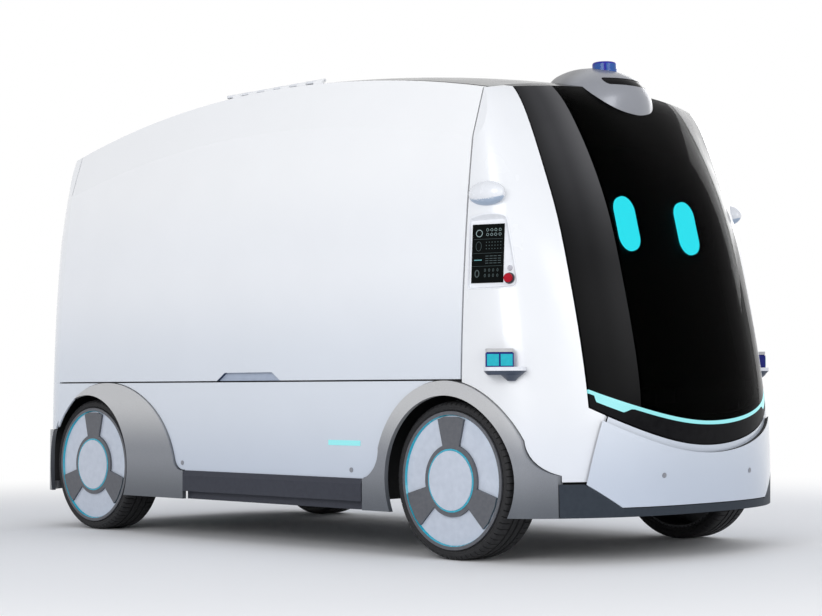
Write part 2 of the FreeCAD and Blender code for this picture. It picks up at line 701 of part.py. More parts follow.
bows = [slab(x - 20, x + 20, -S.roof_seam_y, S.roof_seam_y, 1400, 2000) for x in (-1000, -560, -120, 320, 760)]
rails = [slab(S.rear_seam_x + 1, S.front_seam_x + 2, side * (S.roof_seam_y - 25) - 25, side * (S.roof_seam_y - 25) + 25,
              1400, 2000) for side in (-1, 1)]
roof_zone = rails[0].fuse(rails[1:] + bows)
roof_frame = main_frame.common(roof_zone)
node(made("Roof_frame", roof_frame), "roof_frame")

bulk_front = nose_core.common(slab(S.front_seam_x + 2, S.front_seam_x + 16, -1000, 1000, S.floor_z + S.floor_thick, 2000))
bulk_rear = tail_core.common(slab(S.rear_seam_x - 16, S.rear_seam_x + 1, -1000, 1000, S.floor_z + S.floor_thick, 2000))
node(made("Bulkheads", Part.makeCompound([bulk_front.cut(panel_room), bulk_rear])), "bulkheads")

hoops = [slab(front_start + 14, front_end, side * S.pane_y - 16, side * S.pane_y + 16, S.floor_z, 2000) for side in (-1, 1)]
hoops += [slab(front_start + 14, front_end, side * S.face_edge_y - 18, side * S.face_edge_y + 18, 480, 2000)
          for side in (-1, 1)]
sill_hoop = above_arc(S.chin_z - 36, S.chin_rise, 620).cut(above_arc(S.bar_z + 30, S.bar_rise, 620))
cross = slab(front_start, front_end, -690, 690, S.floor_z, S.floor_z + 30)
hoop_zone = hoops[0].fuse(hoops[1:] + [sill_hoop, cross])
face_frame = nose_frame.common(hoop_zone).cut(slab(front_start, 1332, -1000, 1000, 0, S.floor_z + S.contact_gap))
node(made("Face_frame", face_frame), "glazing_frame")


# ---------------------------------------------------------------- chassis

def twin(name, x, y, z, long, wide, high):
    """A box on the left and the same on the right."""
    return both_sides(name, box(name + "_one", x, y, z, long, wide, high))


rail_boxes = [box(f"Rail_{side}", "rear_x+35", y, "rail_z", "nose_x-rear_x-140", "rail_wide", "floor_z-rail_z")
              for side, y in (("right", "-rail_y-rail_wide/2"), ("left", "rail_y-rail_wide/2"))]
cross_boxes = [box(f"Cross_{i}", str(x), "-rail_y", "rail_z+10", "60", "2*rail_y", "floor_z-rail_z-20")
               for i, x in enumerate((-1490, -1020, -700, 440, 740, 1100, 1430))]
side_reach = "half_width-skin-rail_y"
outriggers = []
for i, x in enumerate((-560, -40, 400)):
    for side, y in (("right", "-half_width+skin"), ("left", "rail_y")):
        outriggers.append(box(f"Outrigger_{i}_{side}", str(x), y, "rail_z+10", "40", side_reach,
                              "floor_z-rail_z-20"))
    for side, y in (("right", "-half_width+skin+6"), ("left", "half_width-skin-46")):
        outriggers.append(box(f"Drop_{i}_{side}", str(x), y, "sill_z", "40", "40", "rail_z-sill_z+20"))
seats = []
for end, x in (("front", "front_axle_x"), ("rear", "front_axle_x-wheelbase")):
    for side, y in (("right", "-spring_y-56"), ("left", "rail_y")):
        seats.append(box(f"Seat_{end}_{side}", f"{x}-56", y, "rail_z", "112", "spring_y+56-rail_y", "70"))
beam = box("Bumper_beam", "1440", "-400", "250", "50", "800", "110")
bridge = box("Nose_bridge", "1480", "-200", "floor_z-50", "90", "400", "50")
tail_beam = box("Tail_beam", "rear_x+35", "-500", "260", "35", "1000", "80")
drops = [box(f"Beam_drop_{end}_{side}", x, y, "300", "35", "rail_wide", "rail_z-300+10")
         for end, x in (("front", "1450"), ("tail", "rear_x+35"))
         for side, y in (("right", "-rail_y-rail_wide/2"), ("left", "rail_y-rail_wide/2"))]
pad_zones = [slab(1480, 1700, y - 20, y + 20, 295, 340) for y in (-250, 250)]
pads = [nose_core.common(zone) for zone in pad_zones]
lip_legs = [nose_core.common(slab(1400, 1700, y - 20, y + 20, 165, 186)) for y in (-330, 330)]
lip_posts = [slab(1445, 1485, y - 20, y + 20, 165, 300) for y in (-330, 330)]
tail_pads = [tail_core.common(slab(-1700, S.rear_x + 70, y - 20, y + 20, 290, 330)) for y in (-400, 400)]
fittings = made("Fittings", pads[0].multiFuse(pads[1:] + lip_legs + lip_posts + tail_pads))
chassis = fuse("Chassis", *rail_boxes, *cross_boxes, *outriggers, *seats, beam, bridge, tail_beam, *drops, fittings)
node(chassis, "chassis_frame")

deck = box("Deck", "rear_seam_x-16", "-floor_y", "floor_z", "front_seam_x-rear_seam_x+34", "2*floor_y",
           "floor_thick")
deck_sides = box("Deck_sides", "rear_seam_x+4", "-half_width+skin+contact_gap", "floor_z", "900-rear_seam_x-4",
                 "2*(half_width-skin-contact_gap)", "floor_thick")
mat = box("Deck_mat", "rear_seam_x+8", "-floor_y+5", "floor_z+floor_thick", "front_seam_x-rear_seam_x-14",
          "2*floor_y-10", "mat_thick")
low_core_front = front_envelope(inner)
low_core_rear = rear_envelope(inner)
body_room = slab(-860, 700, -S.half_width, S.half_width, S.floor_z, S.floor_z + S.floor_thick)
body_room = made("Floor_room", body_room.fuse([low_core_front, rear_envelope(inner - S.contact_gap)]))
deck_fitted = common("Deck_fitted", fuse("Deck_sheet", deck, deck_sides), body_room)
floor = fuse("Floor", deck_fitted, mat)
node(floor, "cargo_floor")
battery = box("Battery", "-630", "-rail_y+rail_wide/2+2", "300", "1060", "2*rail_y-rail_wide-4", "floor_z-300")
node(battery, "battery_pack")
computer = box("Computer", "1180", "-rail_y-20", "floor_z", "200", "2*rail_y+40", "140")
node(computer, "compute_unit")


def wheel_box(axle_x, half, core):
    """Sheet-metal wheelhouse: a top plate and two upright plates, trimmed to the skin."""
    outer = -S.half_width - 20
    inboard = -S.rail_y - S.rail_wide / 2 - 2
    thick = S.plate
    top = slab(axle_x - half, axle_x + half, outer, inboard, S.floor_z - thick, S.floor_z)
    fore = slab(axle_x + half - thick, axle_x + half, outer, inboard, 200, S.floor_z)
    aft = slab(axle_x - half, axle_x - half + thick, outer, inboard, 200, S.floor_z)
    return top.fuse([fore, aft]).removeSplitter().common(core)


front_box = wheel_box(S.front_axle_x, S.tyre_radius + 68, low_core_front)
rear_box = wheel_box(REAR_AXLE_X, S.tyre_radius + 22, low_core_rear)
liners = Part.makeCompound([front_box, rear_box])
node(made("Liners", pair(liners)), "wheelhouse_liners")

# ---------------------------------------------------------------- running gear

TYRE = [("-tyre_width/2+5", "rim_radius-7.5"), ("-tyre_width/2+5", "rim_radius+2"),
        ("-tyre_width/2", "rim_radius+8"), ("-tyre_width/2", "tyre_radius-16"),
        ("-tyre_width/2+4", "tyre_radius-7"), ("-tyre_width/2+12", "tyre_radius-2"),
        ("-tyre_width/2+24", "tyre_radius"), ("tyre_width/2-24", "tyre_radius"),
        ("tyre_width/2-12", "tyre_radius-2"), ("tyre_width/2-4", "tyre_radius-7"),
        ("tyre_width/2", "tyre_radius-16"), ("tyre_width/2", "rim_radius+8"),
        ("tyre_width/2-5", "rim_radius+2"), ("tyre_width/2-5", "rim_radius-7.5")]
DISC = "-tyre_width/2+6.5"
RIM = [(DISC, "stub_radius+fit"), (DISC, "rim_radius-16"), (f"{DISC}-8.5", "rim_radius-12"),
       (f"{DISC}-8.5", "rim_radius"), (f"{DISC}-2", "rim_radius"), (f"{DISC}-2", "rim_radius-8"),
       ("tyre_width/2-10", "rim_radius-8"), ("tyre_width/2-10", "rim_radius-16"),
       (f"{DISC}+12", "rim_radius-16"), (f"{DISC}+12", "60"), (f"{DISC}+56", "60"),
       (f"{DISC}+56", "stub_radius+fit")]


def spoke_cover(name):
    """Dark three-spoke cover: a collar round the hub cap and three flaring spokes."""
    body = doc.addObject("PartDesign::Body", name)
    ring = sketch_on(body, "XZ_Plane", name + "_collar")
    ring.addGeometry(Part.Circle(Vector(), Vector(0, 0, 1), 128), False)
    ring.addGeometry(Part.Circle(Vector(), Vector(0, 0, 1), 112.5), False)
    for index, text in ((0, "hub_ring_radius+16"), (1, "hub_ring_radius+fit")):
        ring.addConstraint(Sketcher.Constraint("Coincident", index, 3, -1, 1))
        row = ring.addConstraint(Sketcher.Constraint("Radius", index, amount(text)))
        ring.renameConstraint(row, f"radius_{index}")
        ring.setExpression(f"Constraints.radius_{index}", bound(text))
    collar = body.newObject("PartDesign::Pad", name + "_ring")
    collar.Profile = ring
    bind(collar, Length="spoke_thick")
    blade = sketch_on(body, "XZ_Plane", name + "_spoke")
    outline(blade, [("-spoke_root/2", "hub_ring_radius+8"), ("spoke_root/2", "hub_ring_radius+8"),
                    ("spoke_tip/2", "rim_radius-29"), ("spoke_tip/4", "rim_radius-20"),
                    ("-spoke_tip/4", "rim_radius-20"), ("-spoke_tip/2", "rim_radius-29")])
    spoke = body.newObject("PartDesign::Pad", name + "_blade")
    spoke.Profile = blade
    bind(spoke, Length="spoke_thick")
    doc.recompute()
    around = body.newObject("PartDesign::PolarPattern", name + "_spokes")
    around.Originals = [spoke]
    around.Axis = (blade, ["N_Axis"])
    around.Angle = 360
    bind(around, Occurrences="spoke_count")
    body.Tip = around
    return body


def wheel_pieces(end, x):
    """Tyre and wheel of the right side, at an axle."""
    centre = "-tyre_face_y+tyre_width/2"
    tyre = turned(f"Tyre_{end}", TYRE)
    place(tyre, x, centre, "tyre_radius")
    rim = turned(f"Rim_{end}", RIM)
    place(rim, x, centre, "tyre_radius")
    face = f"{centre}{DISC}"
    cover = spoke_cover(f"Cover_{end}")
    place(cover, x, face, "tyre_radius")
    cap = rod(f"Cap_{end}", "y", x, f"{face}-12", "tyre_radius", "hub_cap_radius", "12")
    ring_out = rod(f"Ring_out_{end}", "y", x, f"{face}-10", "tyre_radius", "hub_ring_radius", "10")
    ring_in = rod(f"Ring_in_{end}", "y", x, f"{face}-10", "tyre_radius", "hub_cap_radius+0.2", "10")
    ring = cut(f"Ring_{end}", ring_out, ring_in)
    wheel = group(f"Wheel_{end}", rim, cover, cap, ring)
    return tyre, wheel


for end, x in (("front", "front_axle_x"), ("rear", "front_axle_x-wheelbase")):
    tyre, wheel = wheel_pieces(end, x)
    node(mirror(f"Tyre_{end}_other", tyre), f"tyre_{end}_left")
    node(mirror(f"Wheel_{end}_other", wheel), f"wheel_{end}_left")
    node(tyre, f"tyre_{end}_right")
    node(wheel, f"wheel_{end}_right")

ax = "front_axle_x"
az = "tyre_radius"
beam_bar = box("Axle_beam", f"{ax}-beam_half", "-kingpin_y+62", f"{az}-beam_half", "2*beam_half", "2*kingpin_y-124",
               "2*beam_half")
forks = []
for side, plate_y, arm_y in (("right", "-kingpin_y+60", "-kingpin_y-20"), ("left", "kingpin_y-72", "kingpin_y-72")):
    forks.append(box(f"Fork_plate_{side}", f"{ax}-25", plate_y, f"{az}-78", "50", "12", "156"))
    for level, z in (("upper", f"{az}+62"), ("lower", f"{az}-78")):
        forks.append(box(f"Fork_{level}_{side}", f"{ax}-25", arm_y, z, "50", "92", "16"))
spring_pads = []
for end, x in (("front", ax), ("rear", "front_axle_x-wheelbase")):
    for side, y in (("right", "-spring_y-45"), ("left", "spring_y-45")):
        spring_pads.append(box(f"Pad_{end}_{side}", f"{x}-45", y, f"{az}+20", "90", "90", "beam_half-20"))
kingpin_holes = [rod(f"Kingpin_hole_{side}", "z", ax, y, f"{az}-90", "kingpin_radius+fit", "180")
                 for side, y in (("right", "-kingpin_y"), ("left", "kingpin_y"))]
front_axle = cut("Front_axle", fuse("Axle_solid", beam_bar, *forks, *spring_pads[:2]),
                 fuse("Axle_holes", *kingpin_holes))
node(front_axle, "front_axle")

block = box("Knuckle_block", f"{ax}-22", "-kingpin_y-22", f"{az}-61.5", "44", "44", "123")
kingpin = rod("Kingpin", "z", ax, "-kingpin_y", f"{az}-84", "kingpin_radius", "168")
stub = rod("Stub", "y", ax, "-tyre_face_y+20", az, "stub_radius", "tyre_face_y-20-kingpin_y")
arm = box("Steer_arm", f"{ax}-steer_arm-16", "-kingpin_y-11", f"{az}-47", "steer_arm", "22", "12")
knuckle = fuse("Knuckle", block, kingpin, stub, arm)
node(knuckle, "knuckle_right")
node(mirror("Knuckle_other", knuckle), "knuckle_left")
tie_bar = rod("Tie_bar", "y", f"{ax}-steer_arm", "-kingpin_y", f"{az}-56", "8", "2*kingpin_y")
tie_ends = [rod(f"Tie_end_{side}", "z", f"{ax}-steer_arm", y, f"{az}-66", "15", "18.5")
            for side, y in (("right", "-kingpin_y"), ("left", "kingpin_y"))]
node(fuse("Tie", tie_bar, *tie_ends), "tie_rod")

rx = "front_axle_x-wheelbase"
tube = rod("Rear_tube", "y", rx, "-tyre_face_y+150", az, "axle_tube_radius", "2*tyre_face_y-300")
rear_stub = rod("Rear_stub", "y", rx, "-tyre_face_y+20", az, "stub_radius", "2*tyre_face_y-40")
gearbox = rod("Gearbox", "y", rx, "-90", az, "96", "180")
motor = rod("Motor", "x", f"{rx}+20", "0", az, "78", "230")
node(fuse("Rear_axle", tube, rear_stub, gearbox, motor, *spring_pads[2:]), "rear_axle")


def bellows(name, x):
    """Air spring with three lobes between the axle pad and the frame seat."""
    low = f"{az}+beam_half"
    high = f"rail_z-{az}-beam_half"
    core = rod(name + "_core", "z", x, "-spring_y", f"{low}+contact_gap", "bellows_radius-18",
               f"{high}-2*contact_gap")
    lobes = []
    for i in range(3):
        lobe = doc.addObject("Part::Torus", f"{name}_lobe_{i}")
        bind(lobe, Radius1="bellows_radius-24", Radius2=f"({high})/6-4")
        place(lobe, x, "-spring_y", f"{low}+({high})*{2 * i + 1}/6")
        lobes.append(lobe)
    return fuse(name, core, *lobes)


node(both_sides("Front_springs", bellows("Front_spring", ax)), "front_air_springs")
node(both_sides("Rear_springs", bellows("Rear_spring", rx)), "rear_air_springs")

# ---------------------------------------------------------------- face carrier and eyes

low_x = "eye_x+(eye_z-carrier_low)*face_slope"
top_x = "eye_x-(carrier_top-eye_z)*face_slope"
carrier = padded("Carrier", "XZ_Plane", [(low_x, "carrier_low"), (top_x, "carrier_top"),
                                         (f"{top_x}-12", "carrier_top"), (f"{low_x}-12", "carrier_low")],
                 "2*carrier_half")
node(carrier, "face_carrier")

lean = math.degrees(math.atan(S.face_slope))
round_end = S.eye_wide / 2
straight = S.eye_high - S.eye_wide
pill = Part.makeBox(10, S.eye_wide, straight, Vector(0, -round_end, -straight / 2))
for side in (-1, 1):
    pill = pill.fuse(Part.makeCylinder(round_end, 10, Vector(0, 0, side * straight / 2), Vector(1, 0, 0)))
pill = pill.removeSplitter()
pill.Placement = Placement(Vector(S.eye_x, -S.eye_y, S.eye_z), Rotation(Vector(0, 1, 0), -lean))
node(made("Eyes", pair(pill)), "eye_displays")

# ---------------------------------------------------------------- sensor pod on the hood

# each level of the pod: height, then half its outline as x and y from the nose side to the tail
POD_LEVELS = (
    (1540, ((1270, 0), (1264, 60), (1250, 110), (1224, 160), (1187, 200), (1142, 228), (1080, 236), (1000, 200),
            (900, 110), (820, 30), (800, 0))),
    (1660, ((1258, 0), (1252, 56), (1238, 102), (1211, 148), (1174, 186), (1127, 210), (1066, 214), (990, 181),
            (900, 103), (825, 29), (806, 0))),
    (1724, ((1243, 0), (1237, 50), (1221, 92), (1193, 133), (1157, 166), (1108, 186), (1048, 186), (978, 156),
            (898, 93), (832, 27), (814, 0))),
    (1768, ((1192, 0), (1186, 40), (1170, 72), (1145, 100), (1110, 121), (1068, 130), (1018, 128), (958, 110),
            (897, 74), (845, 24), (830, 0))),
    (1796, ((1125, 0), (1119, 28), (1104, 50), (1081, 66), (1052, 76), (1020, 78), (985, 74), (950, 62),
            (915, 42), (886, 15), (878, 0))),
    (1808, ((1060, 0), (1056, 10), (1048, 18), (1036, 24), (1020, 27), (1002, 27), (984, 24), (969, 18),
            (959, 11), (954, 4), (952, 0))),
)


def pod_wire(height, half_outline):
    points = [Vector(x, -y, height) for x, y in half_outline]
    points += [Vector(x, y, height) for x, y in half_outline[-2:0:-1]]
    curve = Part.BSplineCurve()
    curve.interpolate(Points=points, PeriodicFlag=True)
    return Part.Wire(curve.toShape())


def drawn_in(shape, share):
    """The pod a little narrower and shorter, about its own middle."""
    x = S.lidar_x - 50
    return shape.transformGeometry(FreeCAD.Matrix(share, 0, 0, x * (1 - share), 0, share, 0, 0, 0, 0, 1, 0, 0, 0, 0, 1))


pod_solid = Part.makeLoft([pod_wire(height, half) for height, half in POD_LEVELS], True, False)
bar_half = S.pod_bar_wide / 2
bar_end = S.pod_bar_high / 2
slot_outline = [(-bar_half, -bar_end, bar_end - 0.5), (bar_half, -bar_end, bar_end - 0.5),
                (bar_half, bar_end, bar_end - 0.5), (-bar_half, bar_end, bar_end - 0.5)]
slot_face = Part.Face(rounded(slot_outline, 0))
slot_face.rotate(Vector(), Vector(0, 0, 1), 90)
slot_face.translate(Vector(S.lidar_x, 0, S.pod_bar_z))
slot_zone = slot_face.extrude(Vector(200, 0, 0))
slot = pod_solid.common(slot_zone).cut(drawn_in(pod_solid, 0.93))
node(made("Pod", pod_solid.cut(slot).cut(nose_solid(S.contact_gap))), "sensor_pod")
camera_bar = drawn_in(pod_solid, 0.985).cut(drawn_in(pod_solid, 0.93)).common(slot_zone)
node(made("Camera_bar", camera_bar), "pod_camera_bar")

lidar_foot = Vector(S.lidar_x, 0, 1700)
lidar_join = S.lidar_top_z - 27
above_pod = pod_solid.copy()
above_pod.translate(Vector(0, 0, REST))
foot = Part.makeCylinder(S.lidar_radius + 2, lidar_join - 1700, lidar_foot).cut(above_pod)
foot = foot.cut(slab(0, 1300, -100, 100, 1600, 1745))
dome = Part.makeCylinder(S.lidar_radius, S.lidar_top_z - lidar_join, Vector(S.lidar_x, 0, lidar_join)).cut(above_pod)
dome = dome.makeFillet(8, [e for e in dome.Edges if e.BoundBox.ZMin > S.lidar_top_z - 1])
node(made("Top_lidar", foot.fuse(dome)), "top_lidar")

# ---------------------------------------------------------------- sensors and lights on the sides

bracket_place = Placement(Vector(S.bracket_x, -S.bracket_y, 0), Rotation(Vector(0, 0, 1), S.bracket_yaw))
seat_body = nose_solid(S.contact_gap)


def upright(corners, z):
    """Closed level outline; a corner is x, y and its radius."""
    flat = rounded([(x, y, radius) for x, y, radius in corners], 0)
    flat.rotate(Vector(), Vector(1, 0, 0), 90)
    flat.translate(Vector(0, 0, z))
    return flat


def tray(x0, x1, y0, y1, radius, z):
    """Level outline of the shelf, where -Y points out."""
    return upright([(x0, -y1, radius), (x1, -y1, radius), (x1, -y0, radius), (x0, -y0, radius)], z)


shelf_top = S.shelf_z
top_wire = tray(-74, 71, -50, 90, 28, shelf_top)
edge_wire = tray(-74, 71, -50, 90, 28, shelf_top - 13)
foot_wire = tray(-62, 56, -38, 80, 20, shelf_top - 27)
shelf = Part.makeLoft([top_wire, edge_wire], True, True).fuse(Part.makeLoft([edge_wire, foot_wire], True, True))
cone = Part.makeCone(13, 37, 21, Vector(19, -6, shelf_top - 48))
bracket = shelf.fuse(cone).removeSplitter()
bracket.Placement = bracket_place
bracket = bracket.cut(seat_body)
node(made("Brackets", pair(bracket)), "side_lidar_brackets")

scan_left = 27 - S.scanner_wide
scan_body = Part.makeBox(S.scanner_wide, S.scanner_deep, 48, Vector(scan_left, -42, shelf_top))
scan_body = scan_body.makeFillet(6, [e for e in scan_body.Edges if e.BoundBox.ZLength > 40])
neck = Part.makeBox(S.scanner_wide - 8, S.scanner_deep - 8, 3, Vector(scan_left + 4, -38, shelf_top + 48))
cap_low = shelf_top + 51
scan_cap = Part.makeBox(S.scanner_wide - 2, S.scanner_deep - 2, S.scanner_top_z - cap_low,
                        Vector(scan_left + 1, -41, cap_low))
scan_cap = scan_cap.makeFillet(5, [e for e in scan_cap.Edges if e.BoundBox.ZLength > 10])
scanner = scan_body.fuse([neck, scan_cap])
scanner.Placement = bracket_place
scanner = scanner.cut(seat_body)
node(made("Scanners", pair(scanner)), "side_lidars")

brow_root = side_point(S.brow_x, S.brow_z)
brow = Part.makeSphere(1)
shape_up = FreeCAD.Matrix(S.brow_long, 0, 0, brow_root.x, 0, S.brow_out, 0, brow_root.y, 0, 0, S.brow_high,
                          brow_root.z, 0, 0, 0, 1)
brow = brow.transformGeometry(shape_up)
under = Part.makeBox(300, 200, 200, Vector(-150, -200, -200))
under.Placement = Placement(brow_root + Vector(0, -S.brow_out, -10), Rotation(Vector(1, 0, 0), -45))
brow = brow.cut(under).cut(seat_body)
node(made("Brows", pair(brow)), "side_camera_pods")

strip_low = S.bar_light_z - S.bar_light_high / 2
strip = slab(S.bar_light_x - S.bar_light_long / 2, S.bar_light_x + S.bar_light_long / 2,
             -S.half_width - 2, -S.half_width, strip_low, strip_low + S.bar_light_high)
node(made("Light_strips", pair(strip)), "side_light_strips")

sonars = [Part.makeCylinder(S.sonar_radius, S.sonar_proud, Vector(x, -S.half_width - S.sonar_proud, S.sonar_z),
                            Vector(0, 1, 0)) for x in (-528, 493)]
ahead = Part.makeCylinder(S.sonar_radius, 400, Vector(1300, -S.sonar_front_y, S.sonar_z - 6), Vector(1, 0, 0))
bumper_face = front_envelope(S.bumper_proud + S.sonar_proud).cut(front_envelope(S.bumper_proud))
sonars.append(ahead.common(bumper_face))
node(made("Sonars", pair(Part.makeCompound(sonars))), "ultrasonic_sensors")

# ---------------------------------------------------------------- write the sub-parts

doc.recompute()
for thing in doc.Objects:
    if "Invalid" in thing.State or "Error" in thing.State:
        raise RuntimeError(f"{thing.Label} did not build: {thing.State}")
for thing in NODES:
    if thing.Shape.isNull() or not thing.Shape.isValid():
        raise RuntimeError(f"{thing.Label} has no valid shape")
os.makedirs("parts", exist_ok=True)
for thing in NODES:
    thing.Shape.exportStep(f"parts/{thing.Label}.step")
    print(thing.Label, len(thing.Shape.Solids), round(thing.Shape.Volume))
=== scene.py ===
"""Looks of the driverless delivery van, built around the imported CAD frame.

Lengths are metres in the frame's axes (X forward, Y left, Z up) unless a comment says millimetres.
"""
import json
import math

import bpy
from mathutils import Matrix, Vector
from mathutils.bvhtree import BVHTree


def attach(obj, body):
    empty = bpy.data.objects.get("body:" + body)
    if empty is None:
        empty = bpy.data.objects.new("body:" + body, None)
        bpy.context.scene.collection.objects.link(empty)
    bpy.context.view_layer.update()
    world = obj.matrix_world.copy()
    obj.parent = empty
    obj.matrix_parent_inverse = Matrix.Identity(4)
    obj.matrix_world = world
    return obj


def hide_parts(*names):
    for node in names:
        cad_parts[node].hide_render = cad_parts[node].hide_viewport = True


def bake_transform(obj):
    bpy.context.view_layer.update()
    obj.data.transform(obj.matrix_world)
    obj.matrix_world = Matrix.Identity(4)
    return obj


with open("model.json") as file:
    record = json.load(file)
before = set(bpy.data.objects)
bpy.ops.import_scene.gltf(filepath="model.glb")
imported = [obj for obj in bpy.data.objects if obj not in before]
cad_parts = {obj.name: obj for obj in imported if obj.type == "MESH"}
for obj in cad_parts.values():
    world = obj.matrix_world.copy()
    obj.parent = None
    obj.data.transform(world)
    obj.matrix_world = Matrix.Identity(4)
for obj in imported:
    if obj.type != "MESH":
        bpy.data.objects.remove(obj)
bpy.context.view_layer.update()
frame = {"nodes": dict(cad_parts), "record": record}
nodes = frame["nodes"]
scene = bpy.context.scene

AXLES = {"front": 0.98, "rear": -1.2}
AXLE_Z = 0.28
SIDES = {"right": -1, "left": 1}
MM = 1000    # millimetres in a metre


# ---------------------------------------------------------------- materials

NOISE_LOW, NOISE_HIGH = 0.3, 0.7    # nearly all of a noise texture lies between these


def shader(name):
    mat = bpy.data.materials.new(name)
    mat.use_nodes = True
    return mat, mat.node_tree, mat.node_tree.nodes["Principled BSDF"]


def noise(tree, scale, detail, stretch=(1, 1, 1)):
    """Noise over the object's own coordinates."""
    coords = tree.nodes.new("ShaderNodeTexCoord")
    mapping = tree.nodes.new("ShaderNodeMapping")
    mapping.inputs["Scale"].default_value = stretch
    texture = tree.nodes.new("ShaderNodeTexNoise")
    texture.inputs["Scale"].default_value = scale
    texture.inputs["Detail"].default_value = detail
    tree.links.new(coords.outputs["Object"], mapping.inputs["Vector"])
    tree.links.new(mapping.outputs["Vector"], texture.inputs["Vector"])
    return texture.outputs["Fac"]


def spread(tree, value, low, high):
    """Two colours, mixed by a noise value."""
    ramp = tree.nodes.new("ShaderNodeValToRGB")
    ramp.color_ramp.elements[0].position = NOISE_LOW
    ramp.color_ramp.elements[0].color = (*low, 1)
    ramp.color_ramp.elements[1].position = NOISE_HIGH
    ramp.color_ramp.elements[1].color = (*high, 1)
    tree.links.new(value, ramp.inputs["Fac"])
    return ramp.outputs["Color"]


def number(tree, value, low, high):
    """Two numbers, mixed by a noise value."""
    change = tree.nodes.new("ShaderNodeMapRange")
    change.inputs["From Min"].default_value = NOISE_LOW
    change.inputs["From Max"].default_value = NOISE_HIGH
    change.inputs["To Min"].default_value = low
    change.inputs["To Max"].default_value = high
    tree.links.new(value, change.inputs["Value"])
    return change.outputs["Result"]


def bump(tree, bsdf, value, depth):
    node = tree.nodes.new("ShaderNodeBump")
    node.inputs["Distance"].default_value = depth
    node.inputs["Strength"].default_value = 1
    tree.links.new(value, node.inputs["Height"])
    tree.links.new(node.outputs["Normal"], bsdf.inputs["Normal"])


def along(tree, axis, stops):
    """Colours over one of the object's own coordinates; a stop is (place, colour).

    Y counts from the middle, so that both sides shade alike.
    """
    coords = tree.nodes.new("ShaderNodeTexCoord")
    split = tree.nodes.new("ShaderNodeSeparateXYZ")
    distance = tree.nodes.new("ShaderNodeMath")
    distance.operation = "ABSOLUTE" if axis == "Y" else "ADD"
    distance.inputs[1].default_value = 0
    place = tree.nodes.new("ShaderNodeMapRange")
    place.inputs["From Min"].default_value = stops[0][0]
    place.inputs["From Max"].default_value = stops[-1][0]
    ramp = tree.nodes.new("ShaderNodeValToRGB")
    ramp.color_ramp.interpolation = "EASE"
    length = stops[-1][0] - stops[0][0]
    while len(ramp.color_ramp.elements) < len(stops):
        ramp.color_ramp.elements.new(0.5)
    for element, (at, _) in zip(ramp.color_ramp.elements, stops):
        element.position = (at - stops[0][0]) / length
    for element, (_, colour) in zip(ramp.color_ramp.elements, stops):
        element.color = (*colour, 1)
    tree.links.new(coords.outputs["Object"], split.inputs[0])
    tree.links.new(split.outputs[axis], distance.inputs[0])
    tree.links.new(distance.outputs[0], place.inputs["Value"])
    tree.links.new(place.outputs["Result"], ramp.inputs["Fac"])
    return ramp.outputs["Color"]


def times(tree, one, other):
    """The product of two colours."""
    mix = tree.nodes.new("ShaderNodeMix")
    mix.data_type = "RGBA"
    mix.blend_type = "MULTIPLY"
    mix.inputs["Factor"].default_value = 1
    tree.links.new(one, mix.inputs["A"])
    tree.links.new(other, mix.inputs["B"])
    return mix.outputs["Result"]


def graded(mat, *fades):
    """Paints shade and light on a finished surface along its axes; a fade is (axis, stops)."""
    tree = mat.node_tree
    base = tree.nodes["Principled BSDF"].inputs["Base Color"]
    for axis, stops in fades:
        mixed = times(tree, base.links[0].from_socket, along(tree, axis, stops))
        tree.links.new(mixed, base)
    return mat


def surface(name, low, high, rough, scale, metal=0.0, coat=0.0, coat_rough=0.05, level=0.5,
            grain=None, stretch=(1, 1, 1)):
    """A moulded, painted or metal finish: colour and roughness drift a little, and grain is a fine bump.

    low and high are the two colours, rough the two roughnesses, and grain is (noise scale, depth).
    """
    mat, tree, bsdf = shader(name)
    drift = noise(tree, scale, 4, stretch)
    tree.links.new(spread(tree, drift, low, high), bsdf.inputs["Base Color"])
    tree.links.new(number(tree, drift, *rough), bsdf.inputs["Roughness"])
    bsdf.inputs["Metallic"].default_value = metal
    bsdf.inputs["Coat Weight"].default_value = coat
    bsdf.inputs["Coat Roughness"].default_value = coat_rough
    bsdf.inputs["Specular IOR Level"].default_value = level
    if grain:
        bump(tree, bsdf, noise(tree, grain[0], 2, stretch), grain[1])
    return mat


def glow(name, colour, strength, dark):
    """A lit display or lamp: cells of slightly different brightness over a dark base."""
    mat, tree, bsdf = shader(name)
    cells = noise(tree, 900, 0)
    dimmer = [c * 0.93 for c in colour]
    lighter = [c * 1.2 for c in dark]
    tree.links.new(spread(tree, cells, dimmer, colour), bsdf.inputs["Emission Color"])
    tree.links.new(spread(tree, cells, dark, lighter), bsdf.inputs["Base Color"])
    bsdf.inputs["Emission Strength"].default_value = strength
    bsdf.inputs["Roughness"].default_value = 0.25
    return mat


def tinted(name, tint, level, ior):
    """Tinted glass with a trace of dust in its roughness."""
    mat, tree, bsdf = shader(name)
    bsdf.inputs["Base Color"].default_value = (*tint, 1)
    bsdf.inputs["Transmission Weight"].default_value = 1
    bsdf.inputs["IOR"].default_value = ior
    bsdf.inputs["Specular IOR Level"].default_value = level
    tree.links.new(number(tree, noise(tree, 12, 5), 0.015, 0.035), bsdf.inputs["Roughness"])
    return mat


